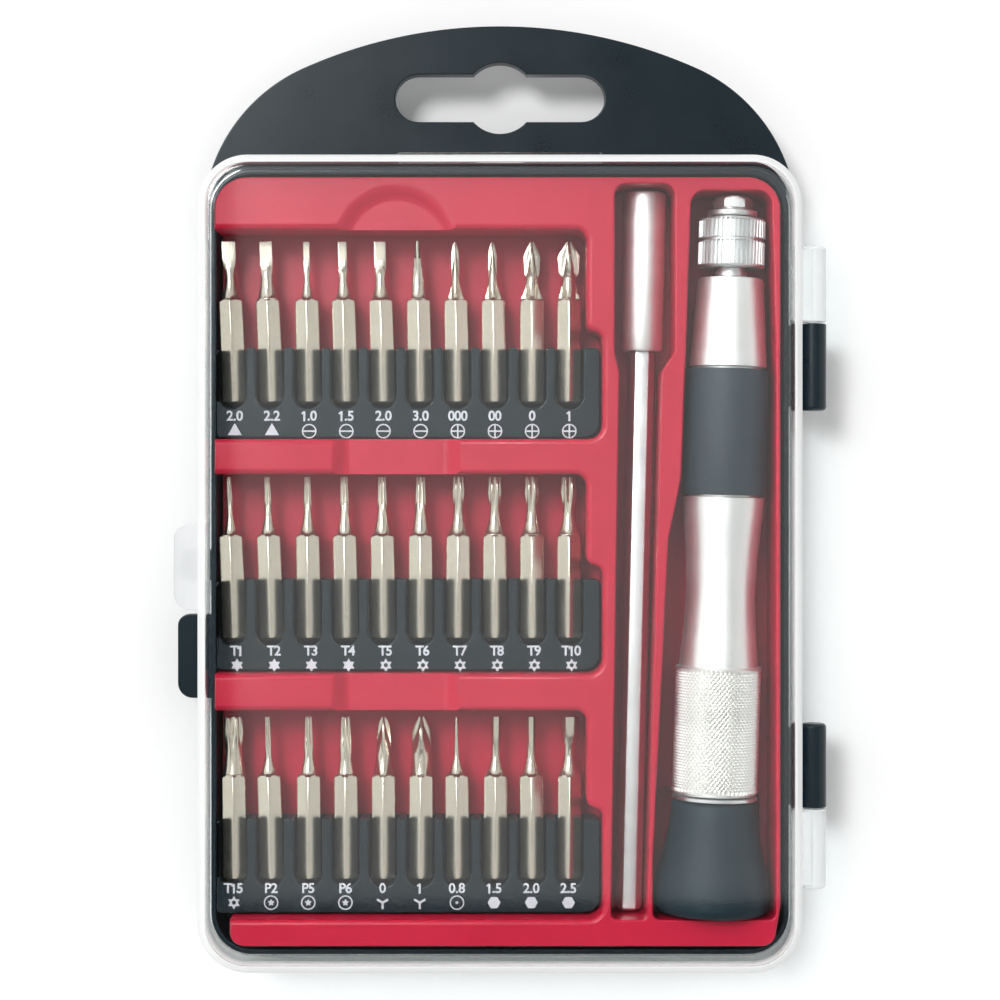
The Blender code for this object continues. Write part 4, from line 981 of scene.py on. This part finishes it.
plug = turned("cap_plug_moulded", [(2.6, 0), (2.6, 3.6), (0.5, 3.6), (0.28, 3.52), (0.2, 3.3), (0.2, 0)], 64)
smooth(plug, 40)
on_handle(plug, cap_plastic, "end_cap", "black_plastic", "cap_plug")

# ---- Lid
# A clear polystyrene tub, moulded thin, that drops over the base's wall. Two knuckles with pegs hinge it to
# the base at the right, and a tab with a hook snaps over the base's catch at the left.
LID_SIDE, LID_Y, RIM_Z, LID_TOP = 51.2, (-80.9, 57.2), 10.5, 25.0
WALL, LID_CORNER, TOP_EDGE, DRAFT = 1.1, 8.5, 2.2, 0.6
PEG_RADIUS, PEG_LENGTH = 0.9, 3.2
LATCH_X, LATCH_Y, LATCH_Z = -56.15, (-20.1, -5.15), (10.55, 12.7)
HOOK_INNER_X, HOOK_Y, HOOK_Z = -55.3, (-17.0, -8.3), (7.2, 11.5)
LIP_X, LIP_Y, LIP_Z = 17.2, (55.95, 57.15), (21.0, 22.4)
LID_ARM_Z = (11.5, 13.5)
LID_KNUCKLES = ((29.45, 42.5), (-54.45, -68.1))


def tub(name, inset, low, top, edge_radius):
    """Solid of the lid's form, moved in from its outer skin by the inset: drafted, with a round top edge."""
    side, low_y, high_y = LID_SIDE - inset, LID_Y[0] + inset, LID_Y[1] - inset
    piece = drawn(name, rounded(slab(-side, side, low_y, high_y, LID_CORNER - inset), 14), low, top)
    edit(piece, lambda centre, normal: normal.z > 0.9)
    length = high_y - low_y
    bpy.ops.transform.resize(value=(1 - DRAFT / side, 1 - 2 * DRAFT / length, 1),
                             center_override=(0, (low_y + high_y) / 2 * MM, top * MM))
    bpy.ops.mesh.bevel(offset=edge_radius * MM, segments=8, affect="EDGES")
    done()
    return piece


lid = tub("lid_shell", 0, RIM_Z, LID_TOP, TOP_EDGE)
boolean(lid, tub("lid_hollow", WALL, RIM_Z - 1, LID_TOP - WALL, TOP_EDGE - WALL), "DIFFERENCE")
lid_wall = LID_SIDE - 0.6
for mouth, end in LID_KNUCKLES:
    way = 1 if end > mouth else -1
    boolean(lid, knuckle_arm(mouth, end, lid_wall, *LID_ARM_Z))
    boolean(lid, knuckle(mouth, end))
    tip = mouth - way * PEG_LENGTH
    peg = [(mouth + way, 0), (mouth + way, PEG_RADIUS), (tip + way * 0.4, PEG_RADIUS),
           (tip, PEG_RADIUS * 0.6), (tip, 0)]
    boolean(lid, put(turned("peg", peg, 32), HINGE[0], 0, HINGE[1]))
latch_tab = [(LATCH_X, LATCH_Y[0], 2.8), (-lid_wall, LATCH_Y[0], 0), (-lid_wall, LATCH_Y[1], 0),
             (LATCH_X, LATCH_Y[1], 2.8)]
boolean(lid, drawn("latch_tab", rounded(latch_tab), *LATCH_Z))
boolean(lid, drawn("hook", rounded(slab(LATCH_X, HOOK_INNER_X, *HOOK_Y)), *HOOK_Z))
boolean(lid, drawn("lip", rounded(slab(-LIP_X, LIP_X, *LIP_Y, 0.4), 6), *LIP_Z))
apply(lid, "BEVEL", width=0.12 * MM, segments=2, limit_method="ANGLE", angle_limit=math.radians(60),
      use_clamp_overlap=False)
moulded(lid)


def clear_plastic(name, tint, transmission, roughness, relief):
    """Clear polystyrene: it bends light, and its shadow is a light one because rays to a lamp pass it."""
    material = bpy.data.materials.new(name)
    shader = grain_on(material, tint, roughness, 0.35, 12.0, 0.02, 0.0, relief)
    shader.inputs["IOR"].default_value = 1.49
    shader.inputs["Transmission Weight"].default_value = transmission
    nodes, links = material.node_tree.nodes, material.node_tree.links
    path = nodes.new("ShaderNodeLightPath")
    passed = nodes.new("ShaderNodeBsdfTransparent")
    mixed = nodes.new("ShaderNodeMixShader")
    passed.inputs["Color"].default_value = (0.93, 0.95, 0.95, 1)
    links.new(path.outputs["Is Shadow Ray"], mixed.inputs["Fac"])
    links.new(shader.outputs["BSDF"], mixed.inputs[1])
    links.new(passed.outputs["BSDF"], mixed.inputs[2])
    links.new(mixed.outputs["Shader"], nodes["Material Output"].inputs["Surface"])
    return material


# Painted highlight: the round top edge, the knuckles and the tab are the same clear polystyrene as the
# window, but they take milkier, less clear copies of it that paint in the light they gather, so they are
# whiter than the window; the copy on the knuckles and the tab is also greyer, for painted shade on them.
clear_polystyrene = clear_plastic("clear_polystyrene", (0.97, 0.985, 0.98), 1.0, 0.0, 0.0015)
finished(lid, clear_polystyrene, "lid", "clear_plastic", "lid")
lid.data.materials.append(clear_plastic("clear_painted_highlight_edge", (0.94, 0.95, 0.95), 0.25, 0.30, 0.004))
lid.data.materials.append(clear_plastic("clear_painted_light_boss", (0.82, 0.83, 0.84), 0.35, 0.20, 0.004))
# Faces of the round top edge take the painted-highlight copy; the knuckles, their arms and pegs, the tab and
# the hook take the greyer painted-light copy.
for face in lid.data.polygons:
    centre = face.center / MM
    if centre.z > LID_TOP - 2.5 and 0.02 < face.normal.z < 0.95:
        face.material_index = 1
    elif abs(centre.x) > LID_SIDE + 0.1:
        face.material_index = 2

# ---- Studio
# A plain pale floor, a light tent that is brightest a little above the horizon and dark overhead, one wide
# soft box straight above, and a key light from the upper left. The camera looks straight down.
FLOOR_SIZE = 12.0
TENT_STRENGTH, TENT_GREYS = 1.3, ((0.0, 0.7), (0.3, 0.9), (0.65, 0.65), (0.92, 0.03))
bpy.ops.object.select_all(action="DESELECT")
bpy.ops.mesh.primitive_plane_add(size=FLOOR_SIZE, location=(0, 0, cad_low.z - 0.2 * MM))
floor = bpy.context.object
floor.name = "floor"
floor.data.materials.append(grained("pale_floor", (0.96, 0.96, 0.96), 0.9, 2.0, 60.0, 0.02, 0.0, 0.01))
floor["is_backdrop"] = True

world = bpy.data.worlds.new("light_tent")
bpy.context.scene.world = world
world.use_nodes = True
nodes, links = world.node_tree.nodes, world.node_tree.links
direction = nodes.new("ShaderNodeTexCoord")
height = nodes.new("ShaderNodeSeparateXYZ")
ramp = nodes.new("ShaderNodeValToRGB")
links.new(direction.outputs["Generated"], height.inputs["Vector"])
links.new(height.outputs["Z"], ramp.inputs["Fac"])
links.new(ramp.outputs["Color"], nodes["Background"].inputs["Color"])
nodes["Background"].inputs["Strength"].default_value = TENT_STRENGTH
stops = ramp.color_ramp.elements
stops[1].position = TENT_GREYS[-1][0]
for position, _ in TENT_GREYS[1:-1]:
    stops.new(position)
for stop, (_, grey) in zip(stops, TENT_GREYS):
    stop.color = (grey, grey, grey, 1)


def soft_box(name, place, aim, size, watts):
    """Rectangular soft box that faces a point."""
    light = bpy.data.lights.new(name, "AREA")
    light.shape = "RECTANGLE"
    light.size, light.size_y = size
    light.energy = watts
    lamp = bpy.data.objects.new(name, light)
    lamp.location = place
    lamp.rotation_euler = (Vector(place) - Vector(aim)).to_track_quat("Z", "Y").to_euler()
    bpy.context.collection.objects.link(lamp)


soft_box("overhead", (0.177, -0.0085, 0.90), (0.177, -0.0085, 0.0), (0.646, 0.427), 0.62)
soft_box("key", (-0.45, 0.45, 1.2), (0, 0, 0), (0.4, 0.4), 10.5)

CAMERA_PLACE, LENS, SENSOR = (0, -0.0012, 0.405), 82.1, 36.0
camera = bpy.data.objects.new("camera", bpy.data.cameras.new("camera"))
camera.data.lens = LENS
camera.data.sensor_width = SENSOR
camera.data.clip_start = 0.01
camera.location = CAMERA_PLACE
bpy.context.collection.objects.link(camera)
bpy.context.scene.camera = camera
bpy.context.scene.view_settings.view_transform = "Standard"

low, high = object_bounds()
